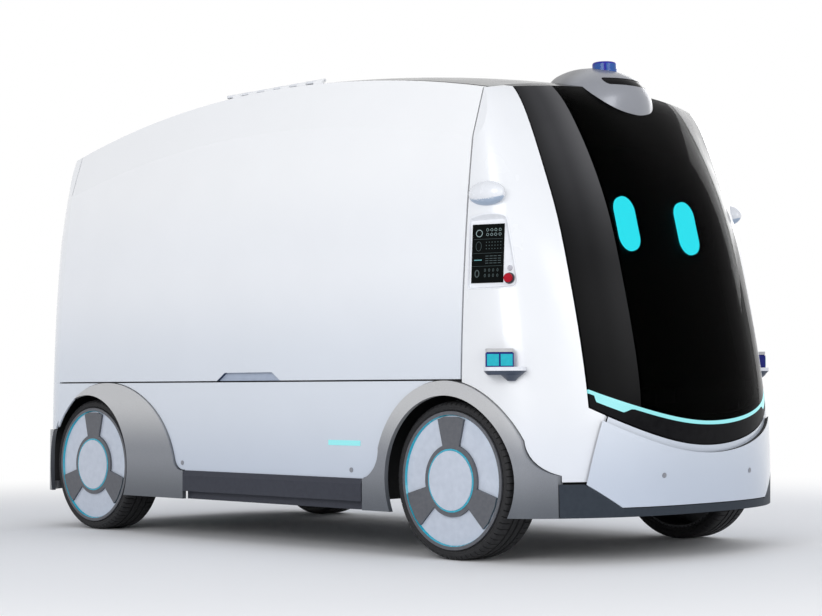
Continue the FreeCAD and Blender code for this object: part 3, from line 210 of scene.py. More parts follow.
WHITE = (1, 1, 1)
# painted shade and light: each fade multiplies a finish's colour along one axis. The body, trims and front
# darken and turn bluer low down, the sill turns a little darker and bluer towards its top, the side glass is
# lighter high up and near the middle, the pod darkens towards its rear, and TEAL_SHADE tints the front ends
# of the side lidar windows
BODY_SHADE = ("Z", ((0.2, (0.58, 0.64, 0.74)), (0.62, (0.76, 0.80, 0.86)), (1.1, (0.94, 0.95, 0.97)),
                    (1.5, WHITE)))
TRIM_SHADE = ("Z", ((0.16, (0.20, 0.22, 0.25)), (0.34, (0.42, 0.44, 0.48)), (0.56, WHITE)))
SILL_SHADE = ("Z", ((0.16, WHITE), (0.35, (0.92, 0.92, 0.96))))
FRONT_SHADE = ("Z", ((0.3, (0.92, 0.94, 0.98)), (0.6, WHITE)))
GLASS_SHADE_Y = ("Y", ((0.345, WHITE), (0.44, (0.45, 0.45, 0.46)), (0.53, (0.2, 0.2, 0.2))))
GLASS_SHADE_Z = ("Z", ((0.45, (0.04, 0.04, 0.04)), (1.0, (0.22, 0.22, 0.22)), (1.55, WHITE)))
POD_SHADE = ("X", ((0.9, (0.03, 0.03, 0.033)), (1.02, (0.35, 0.35, 0.36)), (1.12, WHITE)))
TEAL_SHADE = ("X", ((1.19, WHITE), (1.295, WHITE), (1.31, (0.9, 0.6, 0.8))))

M = {
    # bodywork
    "body_white": graded(surface("body_white", (0.86, 0.87, 0.885), (0.88, 0.89, 0.905), (0.22, 0.26), 3,
                                 coat=0.6, coat_rough=0.08, grain=(900, 0.00002)), BODY_SHADE),
    "cladding_grey": graded(surface("cladding_grey", (0.46, 0.465, 0.475), (0.56, 0.565, 0.575), (0.3, 0.38),
                                    500, metal=0.45, coat=0.3, coat_rough=0.2, grain=(1400, 0.00003)),
                            TRIM_SHADE),
    "sill_dark": graded(surface("sill_dark", (0.042, 0.045, 0.058), (0.05, 0.054, 0.068), (0.5, 0.6), 60,
                                level=0.15, grain=(1200, 0.00006)), SILL_SHADE),
    "roof_dark": surface("roof_dark", (0.03, 0.032, 0.035), (0.042, 0.044, 0.048), (0.24, 0.32), 8,
                         coat=0.3, grain=(700, 0.00002)),
    "body_front": graded(surface("body_front", (0.77, 0.785, 0.81), (0.79, 0.805, 0.83), (0.24, 0.28), 3,
                                 coat=0.4, coat_rough=0.1, grain=(900, 0.00002)), FRONT_SHADE),
    "lip_dark": surface("lip_dark", (0.030, 0.038, 0.05), (0.036, 0.045, 0.058), (0.5, 0.6), 60,
                        level=0.12, grain=(1200, 0.00006)),
    # glass and lamps
    "visor_black": tinted("visor_black", (0.12, 0.12, 0.125), 0.05, 1.05),
    "side_glass": graded(surface("side_glass", (0.1, 0.1, 0.104), (0.106, 0.106, 0.11), (0.2, 0.26), 12,
                                 level=0.03), GLASS_SHADE_Y, GLASS_SHADE_Z),
    "trim_black": surface("trim_black", (0.004, 0.004, 0.005), (0.007, 0.007, 0.008), (0.35, 0.45), 40,
                          grain=(1500, 0.00004), level=0.05),
    "light_cyan": glow("light_cyan", (0.27, 0.80, 0.84), 0.9, (0.05, 0.09, 0.09)),
    "eye_cyan": glow("eye_cyan", (0.028, 0.775, 0.85), 8.4, (0.01, 0.05, 0.06)),
    # wheels
    "tyre_rubber": surface("tyre_rubber", (0.016, 0.016, 0.017), (0.026, 0.026, 0.028), (0.55, 0.7), 120,
                           level=0.25, grain=(800, 0.00015)),
    "wheel_alloy": surface("wheel_alloy", (0.50, 0.55, 0.64), (0.56, 0.61, 0.70), (0.3, 0.38), 40,
                           coat=0.4, grain=(900, 0.00003)),
    "wheel_spoke": surface("wheel_spoke", (0.095, 0.1, 0.115), (0.12, 0.125, 0.14), (0.4, 0.48), 80,
                           metal=0.2, grain=(1100, 0.00005)),
    "wheel_ring": surface("wheel_ring", (0.02, 0.34, 0.48), (0.03, 0.42, 0.56), (0.2, 0.3), 60, coat=0.4),
    "wheel_barrel": surface("wheel_barrel", (0.06, 0.062, 0.066), (0.09, 0.092, 0.098), (0.4, 0.5), 60,
                            metal=0.6, grain=(700, 0.0001)),
    # frame, floor and running gear
    "frame_metal": surface("frame_metal", (0.2, 0.21, 0.22), (0.27, 0.28, 0.29), (0.35, 0.5), 20,
                           metal=0.8, grain=(500, 0.00008)),
    "axle_steel": surface("axle_steel", (0.015, 0.015, 0.017), (0.03, 0.03, 0.032), (0.35, 0.5), 60,
                          grain=(600, 0.0001)),
    "steel_bright": surface("steel_bright", (0.45, 0.45, 0.46), (0.6, 0.6, 0.61), (0.25, 0.38), 200,
                            metal=1.0, grain=(900, 0.00004), stretch=(0.05, 1, 1)),
    "floor_grey": surface("floor_grey", (0.16, 0.165, 0.17), (0.24, 0.245, 0.25), (0.5, 0.7), 250,
                          grain=(300, 0.0004)),
    "bulkhead_grey": surface("bulkhead_grey", (0.42, 0.43, 0.44), (0.48, 0.49, 0.5), (0.5, 0.6), 40,
                             grain=(700, 0.0001)),
    # painted shade: near black for the faces inside the front bay, seen through the visor
    "liner_black": surface("liner_black", (0.008, 0.008, 0.009), (0.016, 0.016, 0.017), (0.75, 0.9), 200,
                           grain=(900, 0.0003)),
    "battery_case": surface("battery_case", (0.25, 0.26, 0.27), (0.33, 0.34, 0.35), (0.35, 0.5), 30,
                            metal=0.7, grain=(500, 0.0001)),
    "compute_case": surface("compute_case", (0.08, 0.085, 0.09), (0.12, 0.125, 0.13), (0.35, 0.5), 30,
                            metal=0.5, grain=(600, 0.0001)),
    "spring_rubber": surface("spring_rubber", (0.012, 0.012, 0.013), (0.025, 0.025, 0.026), (0.55, 0.7), 150,
                             grain=(700, 0.0002)),
    # sensors
    "pod_silver": graded(surface("pod_silver", (0.25, 0.26, 0.29), (0.29, 0.30, 0.33), (0.3, 0.38), 700,
                                 metal=0.3, coat=0.2, level=0.3, grain=(1300, 0.00003)), POD_SHADE),
    "camera_black": surface("camera_black", (0.003, 0.003, 0.004), (0.005, 0.005, 0.006), (0.2, 0.26), 60,
                            level=0.05),
    "lidar_blue": surface("lidar_blue", (0.02, 0.08, 0.31), (0.025, 0.1, 0.37), (0.12, 0.18), 40,
                          coat=0.1, level=0.2),
    "lidar_deep": surface("lidar_deep", (0.015, 0.015, 0.27), (0.02, 0.02, 0.33), (0.12, 0.18), 40,
                          coat=0.1, level=0.2),
    "lidar_navy": surface("lidar_navy", (0.006, 0.01, 0.14), (0.01, 0.016, 0.19), (0.2, 0.26), 60, level=0.2),
    "lidar_teal": graded(surface("lidar_teal", (0.015, 0.38, 0.47), (0.02, 0.44, 0.53), (0.1, 0.14), 80,
                                 level=0.2), TEAL_SHADE),
    "lidar_cap": surface("lidar_cap", (0.42, 0.42, 0.43), (0.48, 0.48, 0.49), (0.35, 0.42), 60,
                         grain=(900, 0.00003)),
    # controls and small parts
    "panel_white": surface("panel_white", (0.76, 0.78, 0.82), (0.80, 0.82, 0.86), (0.32, 0.4), 60,
                           grain=(1000, 0.00003)),
    "screen_black": surface("screen_black", (0.002, 0.003, 0.003), (0.003, 0.004, 0.004), (0.12, 0.16), 20,
                            level=0.04),
    "screen_light": glow("screen_light", (0.42, 0.60, 0.62), 0.55, (0.05, 0.06, 0.06)),
    "screen_cyan": glow("screen_cyan", (0.08, 0.4, 0.45), 0.7, (0.05, 0.06, 0.06)),
    "screen_dim": glow("screen_dim", (0.03, 0.06, 0.065), 0.8, (0.006, 0.008, 0.008)),
    "stop_base_dark": surface("stop_base_dark", (0.035, 0.037, 0.05), (0.05, 0.053, 0.07), (0.4, 0.5), 90,
                              grain=(900, 0.00004)),
    "stop_red": surface("stop_red", (0.33, 0.003, 0.014), (0.40, 0.005, 0.02), (0.3, 0.36), 90,
                        level=0.12, grain=(1200, 0.00002)),
    "button_silver": surface("button_silver", (0.36, 0.36, 0.41), (0.44, 0.44, 0.49), (0.22, 0.32), 300,
                             metal=0.8, grain=(1500, 0.00003)),
    "bracket_white": surface("bracket_white", (0.70, 0.72, 0.77), (0.75, 0.77, 0.82), (0.3, 0.36), 50,
                             coat=0.3, grain=(900, 0.00003)),
    # slate for the bracket's cone, and painted shade on the faces that look down
    "bracket_slate_and_shade": surface("bracket_slate_and_shade", (0.04, 0.055, 0.085), (0.055, 0.07, 0.105), (0.35, 0.42), 50,
                             grain=(900, 0.00005)),
    "camera_white": surface("camera_white", (0.74, 0.76, 0.80), (0.78, 0.80, 0.84), (0.24, 0.3), 30,
                            coat=0.5, grain=(900, 0.00002)),
    # painted shade in the door handle recess: dark under its top, a paler bluish grey at its back
    "recess_painted_shadow": surface("recess_painted_shadow", (0.045, 0.07, 0.13), (0.06, 0.085, 0.15), (0.5, 0.6), 30,
                           level=0.1, grain=(900, 0.00003)),
    "recess_back_painted_shade": surface("recess_back_painted_shade", (0.38, 0.44, 0.55), (0.42, 0.48, 0.59), (0.4, 0.46), 30,
                           level=0.3, grain=(900, 0.00003)),
    "brow_shade": surface("brow_shade", (0.34, 0.42, 0.54), (0.38, 0.46, 0.58), (0.3, 0.36), 30,
                          level=0.3, grain=(900, 0.00002)),
    "sonar_grey": surface("sonar_grey", (0.2, 0.21, 0.24), (0.27, 0.28, 0.31), (0.35, 0.45), 200,
                          grain=(1200, 0.00005)),
}

# ---------------------------------------------------------------- finishes of the CAD nodes

SLOT = {entry["node"]: entry["material_slot"] for entry in frame["record"]["subparts"]}


def paint(thing, mats):
    thing.data.materials.clear()
    for mat in mats:
        thing.data.materials.append(mat)


def parts_of(node, mats, pick):
    """Finishes per face: pick gives the row in mats from a face's centre and normal."""
    thing = nodes[node]
    paint(thing, [M[name] for name in mats])
    for face in thing.data.polygons:
        face.material_index = pick(face.center, face.normal)


for name, thing in nodes.items():
    paint(thing, [M[SLOT[name]]])

# painted shade: faces inside the bay behind the visor are made near black
BAY_MIDDLE = Vector((0.9, 0, 1.0))
BAY_SHELL_FROM = 1.05
BAY_WALL_FROM = 1.045
SHELL_FINISH = {"front_cowls": "body_front", "front_lip": "lip_dark"}


def shell_face(centre, normal):
    """Faces of the shell that look into the front bay get painted shade, near black."""
    return 1 if centre.x > BAY_SHELL_FROM and (centre - BAY_MIDDLE).dot(normal) < 0 else 0


def wall_face(centre, normal):
    """Of the wall, floor and frame in the bay, what looks forward or up gets painted shade, near black."""
    return 1 if centre.x > BAY_WALL_FROM and (normal.x > 0.5 or normal.z > 0.5) else 0


for name in ("front_cowls", "front_bumper", "roof_panel", "roof_frame", "front_lip"):
    parts_of(name, [SHELL_FINISH.get(name, SLOT[name]), "liner_black"], shell_face)
for name in ("bulkheads", "cargo_floor", "chassis_frame"):
    parts_of(name, [SLOT[name], "liner_black"], wall_face)

paint(nodes["door_hinges"], [M["camera_white"]])


def camera_pod_face(centre, normal):
    """The underside of the brow is shaded."""
    return 1 if normal.z < -0.5 else 0


parts_of("side_camera_pods", ["camera_white", "brow_shade"], camera_pod_face)

# the outer face of a wheel, from its middle: hub cap, ring, spokes and inserts, ring at the rim
DISC_FACE = 0.7085
DISC_STEP = 0.0006
HUB_CAP, HUB_RING = 0.1051, 0.1122
RIM_RING_IN, RIM_RING_OUT = 0.2279, 0.2322
WHEEL_FINISHES = ["wheel_alloy", "wheel_spoke", "wheel_ring", "wheel_barrel"]


def wheel_face(axle):
    """The rows of WHEEL_FINISHES round one axle; what lies behind the outer face is the barrel."""
    def pick(centre, normal):
        radius = math.hypot(centre.x - axle, centre.z - AXLE_Z)
        out = abs(centre.y)
        raised = out > DISC_FACE + DISC_STEP
        if out < DISC_FACE - DISC_STEP:
            return 3
        if radius < HUB_CAP:
            return 0
        if radius < HUB_RING and raised:
            return 2
        if RIM_RING_IN < radius < RIM_RING_OUT:
            return 2
        return 1 if raised else 0
    return pick


for side in SIDES:
    for end, axle in AXLES.items():
        parts_of(f"wheel_{end}_{side}", WHEEL_FINISHES, wheel_face(axle))

TOP_LIDAR_X = 1.1
TOP_LIDAR_CAP_Z = 1.812
TOP_LIDAR_BAND, TOP_LIDAR_BAND_HALF = -48, 6    # degrees from straight ahead
SIDE_LIDAR_CAP_Z = 0.7281
BRACKET_CONE_Z = 0.6499


def top_lidar_face(centre, normal):
    """The cap and one upright band are a deeper blue."""
    angle = math.degrees(math.atan2(centre.y, centre.x - TOP_LIDAR_X))
    in_band = abs(angle - TOP_LIDAR_BAND) < TOP_LIDAR_BAND_HALF
    return 1 if centre.z > TOP_LIDAR_CAP_Z or in_band else 0


def side_lidar_face(centre, normal):
    return 1 if centre.z > SIDE_LIDAR_CAP_Z else 0


def bracket_face(centre, normal):
    """The cone is slate; what looks down gets the same slate as painted shade."""
    return 1 if centre.z < BRACKET_CONE_Z or normal.z < -0.3 else 0


parts_of("top_lidar", ["lidar_blue", "lidar_deep"], top_lidar_face)
parts_of("side_lidars", ["lidar_navy", "lidar_cap"], side_lidar_face)
parts_of("side_lidar_brackets", ["bracket_white", "bracket_slate_and_shade"], bracket_face)

# the handle recess at the foot of each door, with painted shade inside it
RECESS_X, RECESS_HALF = -0.108, 0.1952
RECESS_TOP = 0.6702
RECESS_INNER = 0.7305
RECESS_BACK, RECESS_BACK_SLACK = 0.731, 0.0008
DOOR_SKIN = 0.7449


def door_face(centre, normal):
    """Painted shade in the recess: dark where it looks down, paler at its back."""
    out = abs(centre.y)
    if abs(centre.x - RECESS_X) > RECESS_HALF or centre.z > RECESS_TOP or out < RECESS_INNER:
        return 0
    if normal.z < -0.3 and out < DOOR_SKIN:
        return 1
    faces_out = normal.y * math.copysign(1, centre.y) > 0.9
    if faces_out and abs(out - RECESS_BACK) < RECESS_BACK_SLACK:
        return 2
    return 0


for side in SIDES:
    parts_of(f"door_{side}", ["body_white", "recess_painted_shadow", "recess_back_painted_shade"], door_face)

# ---------------------------------------------------------------- pieces built here


def piece(name, points, faces, mat, body, sharp=None):
    """A mesh of its own. Edges from sharp (degrees) on stay hard; without it each face is flat."""
    data = bpy.data.meshes.new(name)
    data.from_pydata(points, [], faces)
    data.materials.append(M[mat])
    if sharp:
        data.polygons.foreach_set("use_smooth", [True] * len(data.polygons))
        data.set_sharp_from_angle(angle=math.radians(sharp))
    thing = bpy.data.objects.new(name, data)
    scene.collection.objects.link(thing)
    if body:
        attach(thing, body)
    return thing


def turned_faces(rows, columns, start=0):
    """Faces of a closed profile of so many rows, turned through so many columns."""
    faces = []
    for column in range(columns):
        after = (column + 1) % columns
        for row in range(rows):
            below = (row + 1) % rows
            faces.append((start + column * rows + row, start + column * rows + below,
                          start + after * rows + below, start + after * rows + row))
    return faces


TYRE_FACE, TYRE_HALF = 0.715, 0.0825
PITCHES = 72
# (share of a pitch, whether it lies in the cross cut)
PITCH_STEPS = ((0, False), (0.42, False), (0.84, False), (0.87, True), (0.97, True))
# millimetres: (distance from the tyre's middle, radius), from the middle of the tread to the bead
HALF_TYRE = ((0, 273), (3.5, 273), (5, 279.8), (15, 279.9), (25.5, 279.8), (27, 273), (33, 273),
             (34.5, 279.8), (46, 279.8), (57, 279.6), (64, 278.6), (70, 277.3), (74, 275.4), (78, 272),
             (80.4, 268.5), (82.2, 264), (82.3, 261), (81.4, 259.6), (81.4, 257.2), (82.3, 256),
             (82.2, 252.6), (79.8, 249), (77.4, 245.5), (77.4, 237.2))
# millimetres: (from, to, depth) of the cross cuts, by the distance from the middle
CROSS_CUTS = ((40, 79, 5.5), (79, 81, 2.5), (6, 24, 1.2))
# millimetres: outside the shoulder, the deep cuts also step in from the wall
SHOULDER, SHOULDER_STEP = 73, 0.6
DEEP_CUT = 2


def cut_depth(wide):
    for start, stop, depth in CROSS_CUTS:
        if start < wide < stop:
            return depth
    return 0


def tyre(name, axle, side):
    """Tyre with three grooves round the tread, cross cuts in its shoulders and a ridge round each wall."""
    middle = side * (TYRE_FACE - TYRE_HALF)
    profile = list(reversed(HALF_TYRE)) + [(-y, radius) for y, radius in HALF_TYRE[1:]]
    points = []
    for pitch in range(PITCHES):
        for share, cut in PITCH_STEPS:
            angle = 2 * math.pi * (pitch + share) / PITCHES
            for y, radius in profile:
                wide = abs(y)
                deep = cut_depth(wide) if cut else 0
                inward = SHOULDER_STEP if deep > DEEP_CUT and wide > SHOULDER else 0
                out = (radius - deep) / MM
                across = math.copysign(max(wide - inward, 0), y) / MM
                points.append((axle + out * math.cos(angle), middle + across, AXLE_Z + out * math.sin(angle)))
    faces = turned_faces(len(profile), PITCHES * len(PITCH_STEPS))
    thing = piece(f"{name}_tread", points, faces, "tyre_rubber", None, 32)
    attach(thing, name.replace("tyre", "wheel"))
    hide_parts(name)


for side, sign in SIDES.items():
    for end, axle in AXLES.items():
        tyre(f"tyre_{end}_{side}", axle, sign)

SPRING_LOW, SPRING_HIGH, SPRING_Y = 0.3123, 0.4997, 0.44
SPRING_COLLAR, SPRING_WAIST, SPRING_LOBE, SPRING_BORE = 0.036, 0.037, 0.0185, 0.001
SPRING_LOBES = 3
LOBE_STEPS = 14
LOBE_ROUNDNESS = 0.7
SPRING_COLUMNS = 48


def springs(node, axle):
    """Air springs with three lobes, one on each side, between the frame and the axle."""
    tall = (SPRING_HIGH - SPRING_LOW) / SPRING_LOBES
    profile = [(SPRING_COLLAR, SPRING_LOW)]
    for lobe in range(SPRING_LOBES):
        low = SPRING_LOW + lobe * tall
        for step in range(LOBE_STEPS + 1):
            turn = math.pi * step / LOBE_STEPS
            radius = SPRING_WAIST + SPRING_LOBE * math.sin(turn) ** LOBE_ROUNDNESS
            profile.append((radius, low + tall * (1 - math.cos(turn)) / 2))
    profile += [(SPRING_COLLAR, SPRING_HIGH), (SPRING_BORE, SPRING_HIGH), (SPRING_BORE, SPRING_LOW)]
    points, faces = [], []
    for side in (-SPRING_Y, SPRING_Y):
        start = len(points)
        for column in range(SPRING_COLUMNS):
            angle = 2 * math.pi * column / SPRING_COLUMNS
            turn_x, turn_y = math.cos(angle), math.sin(angle)
            points += [(axle + radius * turn_x, side + radius * turn_y, z) for radius, z in profile]
        faces += turned_faces(len(profile), SPRING_COLUMNS, start)
    thing = piece(f"{node}_bellows", points, faces, "spring_rubber", None, 40)
    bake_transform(thing)
    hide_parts(node)


for end, axle in AXLES.items():
    springs(f"{end}_air_springs", axle)

# touchscreen picture: plain marks on the glass, in millimetres in the panel's own axes (-Y out)
PANEL = Matrix.Translation((1.150, -0.685, 1.070)) @ Matrix.Rotation(math.radians(18), 4, "Z")
PANEL = PANEL @ Matrix.Rotation(math.radians(-4.8), 4, "X")
GLASS_LEFT, GLASS_TOP, GLASS_WIDE, GLASS_HIGH = -71, 107, 123, 207
GLASS_OUT, MARK_DEEP = -3.1, 0.25
RING_POINTS = 20


class Marks:
    """Marks of one colour; u and v are shares of the glass, from its left and its top."""

    def __init__(self):
        self.points, self.faces = [], []

    def loop(self, outer, inner=None):
        """A raised flat shape, or a ring where there's an inner line."""
        start, count = len(self.points), len(outer)
        lines = [outer, inner] if inner else [outer]
        for y in (GLASS_OUT, GLASS_OUT - MARK_DEEP):
            for line in lines:
                for x, z in line:
                    place = PANEL @ Vector((x / MM, y / MM, z / MM))
                    self.points.append(tuple(place))
        level = count * len(lines)
        for row in range(len(lines)):
            for i in range(count):
                j = (i + 1) % count
                low = start + row * count
                face = (low + i, low + j, low + level + j, low + level + i)
                self.faces.append(face if row else face[::-1])
        if inner:
            for layer in (0, level):
                for i in range(count):
                    j = (i + 1) % count
                    low = start + layer
                    face = (low + i, low + j, low + count + j, low + count + i)
                    self.faces.append(face[::-1] if layer else face)
        else:
            self.faces.append(tuple(start + i for i in range(count)))
            self.faces.append(tuple(start + level + i for i in reversed(range(count))))

    def bar(self, u, v, wide, high):
        x, z = GLASS_LEFT + GLASS_WIDE * u, GLASS_TOP - GLASS_HIGH * v
        self.loop([(x - wide / 2, z - high / 2), (x + wide / 2, z - high / 2),
                   (x + wide / 2, z + high / 2), (x - wide / 2, z + high / 2)])

    def ring(self, u, v, wide, high, thick):
        x, z = GLASS_LEFT + GLASS_WIDE * u, GLASS_TOP - GLASS_HIGH * v
        turns = [math.radians(360 * i / RING_POINTS) for i in range(RING_POINTS)]
        self.loop([(x + wide * math.cos(t), z + high * math.sin(t)) for t in turns],
                  [(x + (wide - thick) * math.cos(t), z + (high - thick) * math.sin(t)) for t in turns])

    def done(self, name, mat):
        piece(name, self.points, self.faces, mat, "chassis")


bright, cyan, dim = Marks(), Marks(), Marks()
bright.ring(0.22, 0.155, 13, 13, 2.2)
for column in (0.48, 0.61, 0.735, 0.87):
    for row in (0.10, 0.178):
        bright.ring(column, row, 5.0, 5.0, 1.1)
    for row in (0.785, 0.875):
        dim.ring(column - 0.05, row, 3.4, 5.6, 1.6)
    for row in (0.545, 0.587, 0.625, 0.665):
        dim.bar(column, row, 12, 2.2)
for column in range(6):
    for row in range(3):
        dim.bar(0.45 + 0.09 * column, 0.31 + 0.055 * row, 3.2, 3.2)
dim.ring(0.21, 0.375, 11, 17, 1.4)
dim.ring(0.18, 0.84, 9.5, 14, 4)
for line in (0.255, 0.495, 0.715):
    dim.bar(0.5, line, 112, 0.9)
cyan.bar(0.2, 0.61, 30, 3)
bright.done("screen_marks_bright", "screen_light")
cyan.done("screen_mark_cyan", "screen_cyan")
dim.done("screen_marks_dim", "screen_dim")

# the teal windows of the side lidars, in millimetres in the lidar's own axes (-Y out)
LIDAR_SEAT = Matrix.Translation((1.250, -0.720, 0)) @ Matrix.Rotation(math.radians(45), 4, "Z")
PANE_SPANS = ((-64.5, -24), (-18, 22.5))
PANE_OUT, PANE_IN = -42.6, -41.9
PANE_LEVELS = (681, 721)
BOX_FACES = [(3, 2, 1, 0), (4, 5, 6, 7), (0, 1, 5, 4), (1, 2, 6, 5), (2, 3, 7, 6), (3, 0, 4, 7)]

for side, sign in SIDES.items():
    for index, (x0, x1) in enumerate(PANE_SPANS):
        corners = []
        for z in PANE_LEVELS:
            for x, y in ((x0, PANE_OUT), (x1, PANE_OUT), (x1, PANE_IN), (x0, PANE_IN)):
                place = LIDAR_SEAT @ Vector((x / MM, y / MM, z / MM))
                corners.append((place.x, place.y * -sign, place.z))
        piece(f"side_lidar_pane_{side}_{index}", corners, BOX_FACES, "lidar_teal", "chassis")

# how far the light bar's wide ends hang below it: (distance from the middle, depth)
TAB_DEPTH = ((0.370, 0.0008), (0.3812, 0.004), (0.4073, 0.0235), (0.4908, 0.0206), (0.4945, 0.0008))
BAR_LOW, BAR_RADIUS = 0.4715, 1.1973
TAB_COLUMNS, TAB_ROWS = 48, 3
TAB_GAP, TAB_PROUD, TAB_THICK = 0.0004, 0.0006, 0.002
PROBE_X = 2
PROBE_DROP = 0.002    # a gap parts bar and chin, so probes start at least this far below the tab's top


def tab_depth(y):
    for (y0, deep0), (y1, deep1) in zip(TAB_DEPTH, TAB_DEPTH[1:]):
        if y <= y1:
            return deep0 + (deep1 - deep0) * (y - y0) / (y1 - y0)
    return TAB_DEPTH[-1][1]


def light_tabs():
    """The wide ends of the front light bar, laid on the chin below it."""
    chin = nodes["chin_trim"].data
    corners = [vertex.co.copy() for vertex in chin.vertices]
    skin = BVHTree.FromPolygons(corners, [tuple(face.vertices) for face in chin.polygons])
    first, last = TAB_DEPTH[0][0], TAB_DEPTH[-1][0]
    for side, sign in SIDES.items():
        points, faces = [], []
        for column in range(TAB_COLUMNS + 1):
            y = first + (last - first) * column / TAB_COLUMNS
            top = BAR_LOW + BAR_RADIUS - math.sqrt(BAR_RADIUS ** 2 - y ** 2) - TAB_GAP
            for row in range(TAB_ROWS):
                z = top - tab_depth(y) * row / (TAB_ROWS - 1)
                probe = Vector((PROBE_X, sign * y, min(z, top - PROBE_DROP)))
                spot = skin.ray_cast(probe, Vector((-1, 0, 0)))[0]
                points.append((spot.x + TAB_PROUD, sign * y, z))
        count = len(points)
        points += [(x - TAB_THICK, y, z) for x, y, z in points]
        for column in range(TAB_COLUMNS):
            for row in range(TAB_ROWS - 1):
                a = column * TAB_ROWS + row
                face = (a, a + 1, a + TAB_ROWS + 1, a + TAB_ROWS)
                faces.append(face if sign < 0 else face[::-1])
                back = tuple(i + count for i in face)
                faces.append(back[::-1] if sign < 0 else back)
        border = [column * TAB_ROWS for column in range(TAB_COLUMNS + 1)]
        border += [TAB_COLUMNS * TAB_ROWS + row for row in range(1, TAB_ROWS)]
        border += [column * TAB_ROWS + TAB_ROWS - 1 for column in reversed(range(TAB_COLUMNS))]
        border += [row for row in range(TAB_ROWS - 2, 0, -1)]
        for a, b in zip(border, border[1:] + border[:1]):
            face = (a, b, b + count, a + count)
            faces.append(face if sign < 0 else face[::-1])
        piece(f"light_tab_{side}", points, faces, "light_cyan", "chassis", 40)


light_tabs()

# ---------------------------------------------------------------- studio

AMBIENT = 0.62
FLOOR_HALF = 14
FLOOR_FADE_FROM, FLOOR_FADE_TO = 2.2, 5.5


def lamp(name, place, aim, size, power):
    data = bpy.data.lights.new(name, "AREA")
    data.shape = "RECTANGLE"
    data.size, data.size_y = size
    data.energy = power
    thing = bpy.data.objects.new(name, data)
    scene.collection.objects.link(thing)
    thing.location = place
    thing.rotation_euler = (Vector(aim) - Vector(place)).to_track_quat("-Z", "Y").to_euler()


def bright_behind(tree, shade):
    """Light Path: camera, glossy and transmission rays see plain white in place of the world's shade."""
    paths = tree.nodes.new("ShaderNodeLightPath")
    first = tree.nodes.new("ShaderNodeMath")
    first.operation = "MAXIMUM"
    second = tree.nodes.new("ShaderNodeMath")
    second.operation = "MAXIMUM"
    tree.links.new(paths.outputs["Is Camera Ray"], first.inputs[0])
    tree.links.new(paths.outputs["Is Transmission Ray"], first.inputs[1])
    tree.links.new(first.outputs[0], second.inputs[0])
    tree.links.new(paths.outputs["Is Glossy Ray"], second.inputs[1])
    mix = tree.nodes.new("ShaderNodeMixShader")
    white = tree.nodes.new("ShaderNodeBackground")
    white.inputs["Color"].default_value = (*WHITE, 1)
    white.inputs["Strength"].default_value = 1
    tree.links.new(second.outputs[0], mix.inputs["Fac"])
    tree.links.new(shade, mix.inputs[1])
    tree.links.new(white.outputs[0], mix.inputs[2])
    return mix.outputs[0]


def studio_world():
    world = bpy.data.worlds.new("studio")
    scene.world = world
    world.use_nodes = True
    tree = world.node_tree
    ambient = tree.nodes["Background"]
    ambient.inputs["Color"].default_value = (0.93, 0.95, 1.0, 1)
    ambient.inputs["Strength"].default_value = AMBIENT
    tree.links.new(bright_behind(tree, ambient.outputs[0]), tree.nodes["World Output"].inputs["Surface"])


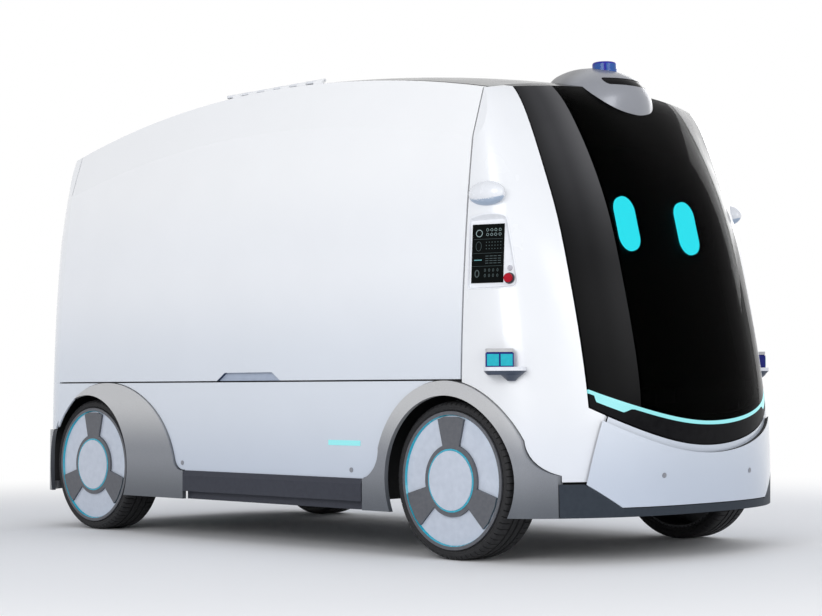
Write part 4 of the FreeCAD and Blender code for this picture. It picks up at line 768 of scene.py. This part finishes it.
def fading_floor_finish():
    """A pale floor that keeps the shadow near the van and fades to plain white further out."""
    mat, tree, bsdf = shader("studio_floor")
    bsdf.inputs["Base Color"].default_value = (0.9, 0.905, 0.915, 1)
    bsdf.inputs["Roughness"].default_value = 0.9
    bsdf.inputs["Specular IOR Level"].default_value = 0.1
    coords = tree.nodes.new("ShaderNodeTexCoord")
    far = tree.nodes.new("ShaderNodeVectorMath")
    far.operation = "LENGTH"
    fade = tree.nodes.new("ShaderNodeMapRange")
    fade.inputs["From Min"].default_value = FLOOR_FADE_FROM
    fade.inputs["From Max"].default_value = FLOOR_FADE_TO
    fade.interpolation_type = "SMOOTHSTEP"
    edge = tree.nodes.new("ShaderNodeMixShader")
    plain = tree.nodes.new("ShaderNodeEmission")
    plain.inputs["Color"].default_value = (*WHITE, 1)
    tree.links.new(coords.outputs["Object"], far.inputs[0])
    tree.links.new(far.outputs["Value"], fade.inputs["Value"])
    tree.links.new(fade.outputs["Result"], edge.inputs["Fac"])
    tree.links.new(bsdf.outputs["BSDF"], edge.inputs[1])
    tree.links.new(plain.outputs[0], edge.inputs[2])
    tree.links.new(edge.outputs[0], tree.nodes["Material Output"].inputs["Surface"])
    return mat


studio_world()
lamp("key", (3.5, -7.0, 3.2), (0.2, 0, 0.9), (4, 3), 190)
lamp("front", (8.0, -1.0, 2.6), (1.2, 0, 0.9), (3, 3), 100)
lamp("far_side", (-1.0, 7.0, 3.5), (0, 0, 0.9), (5, 3), 110)

floor_corners = [(FLOOR_HALF * x, FLOOR_HALF * y, 0) for x, y in ((-1, -1), (1, -1), (1, 1), (-1, 1))]
floor_mesh = bpy.data.meshes.new("studio_floor")
floor_mesh.from_pydata(floor_corners, [], [(0, 1, 2, 3)])
floor_mesh.materials.append(fading_floor_finish())
floor = bpy.data.objects.new("studio_floor", floor_mesh)
scene.collection.objects.link(floor)

# ---------------------------------------------------------------- camera

CAMERA_PLACE = (5.674, -5.477, 0.6215)
YAW, PITCH, ROLL = math.radians(45.77), math.radians(2.29), -0.0057
SENSOR_WIDE = 36
FOCAL_PER_WIDTH = 1894.4 / 822    # focal length over the picture's width

ahead = Vector((-math.sin(YAW) * math.cos(PITCH), math.cos(YAW) * math.cos(PITCH), math.sin(PITCH)))
level_side = Vector((math.cos(YAW), math.sin(YAW), 0))
above = level_side.cross(ahead)
right = level_side * math.cos(ROLL) + above * math.sin(ROLL)
up = above * math.cos(ROLL) - level_side * math.sin(ROLL)
lens = bpy.data.cameras.new("camera")
lens.sensor_width = SENSOR_WIDE
lens.lens = FOCAL_PER_WIDTH * SENSOR_WIDE
lens.clip_end = 100
camera = bpy.data.objects.new("camera", lens)
scene.collection.objects.link(camera)
turn = Matrix((right, up, -ahead)).transposed().to_4x4()
camera.matrix_world = Matrix.Translation(CAMERA_PLACE) @ turn
scene.camera = camera
scene.view_settings.view_transform = "Standard"

# ---------------------------------------------------------------- end

bpy.context.view_layer.update()
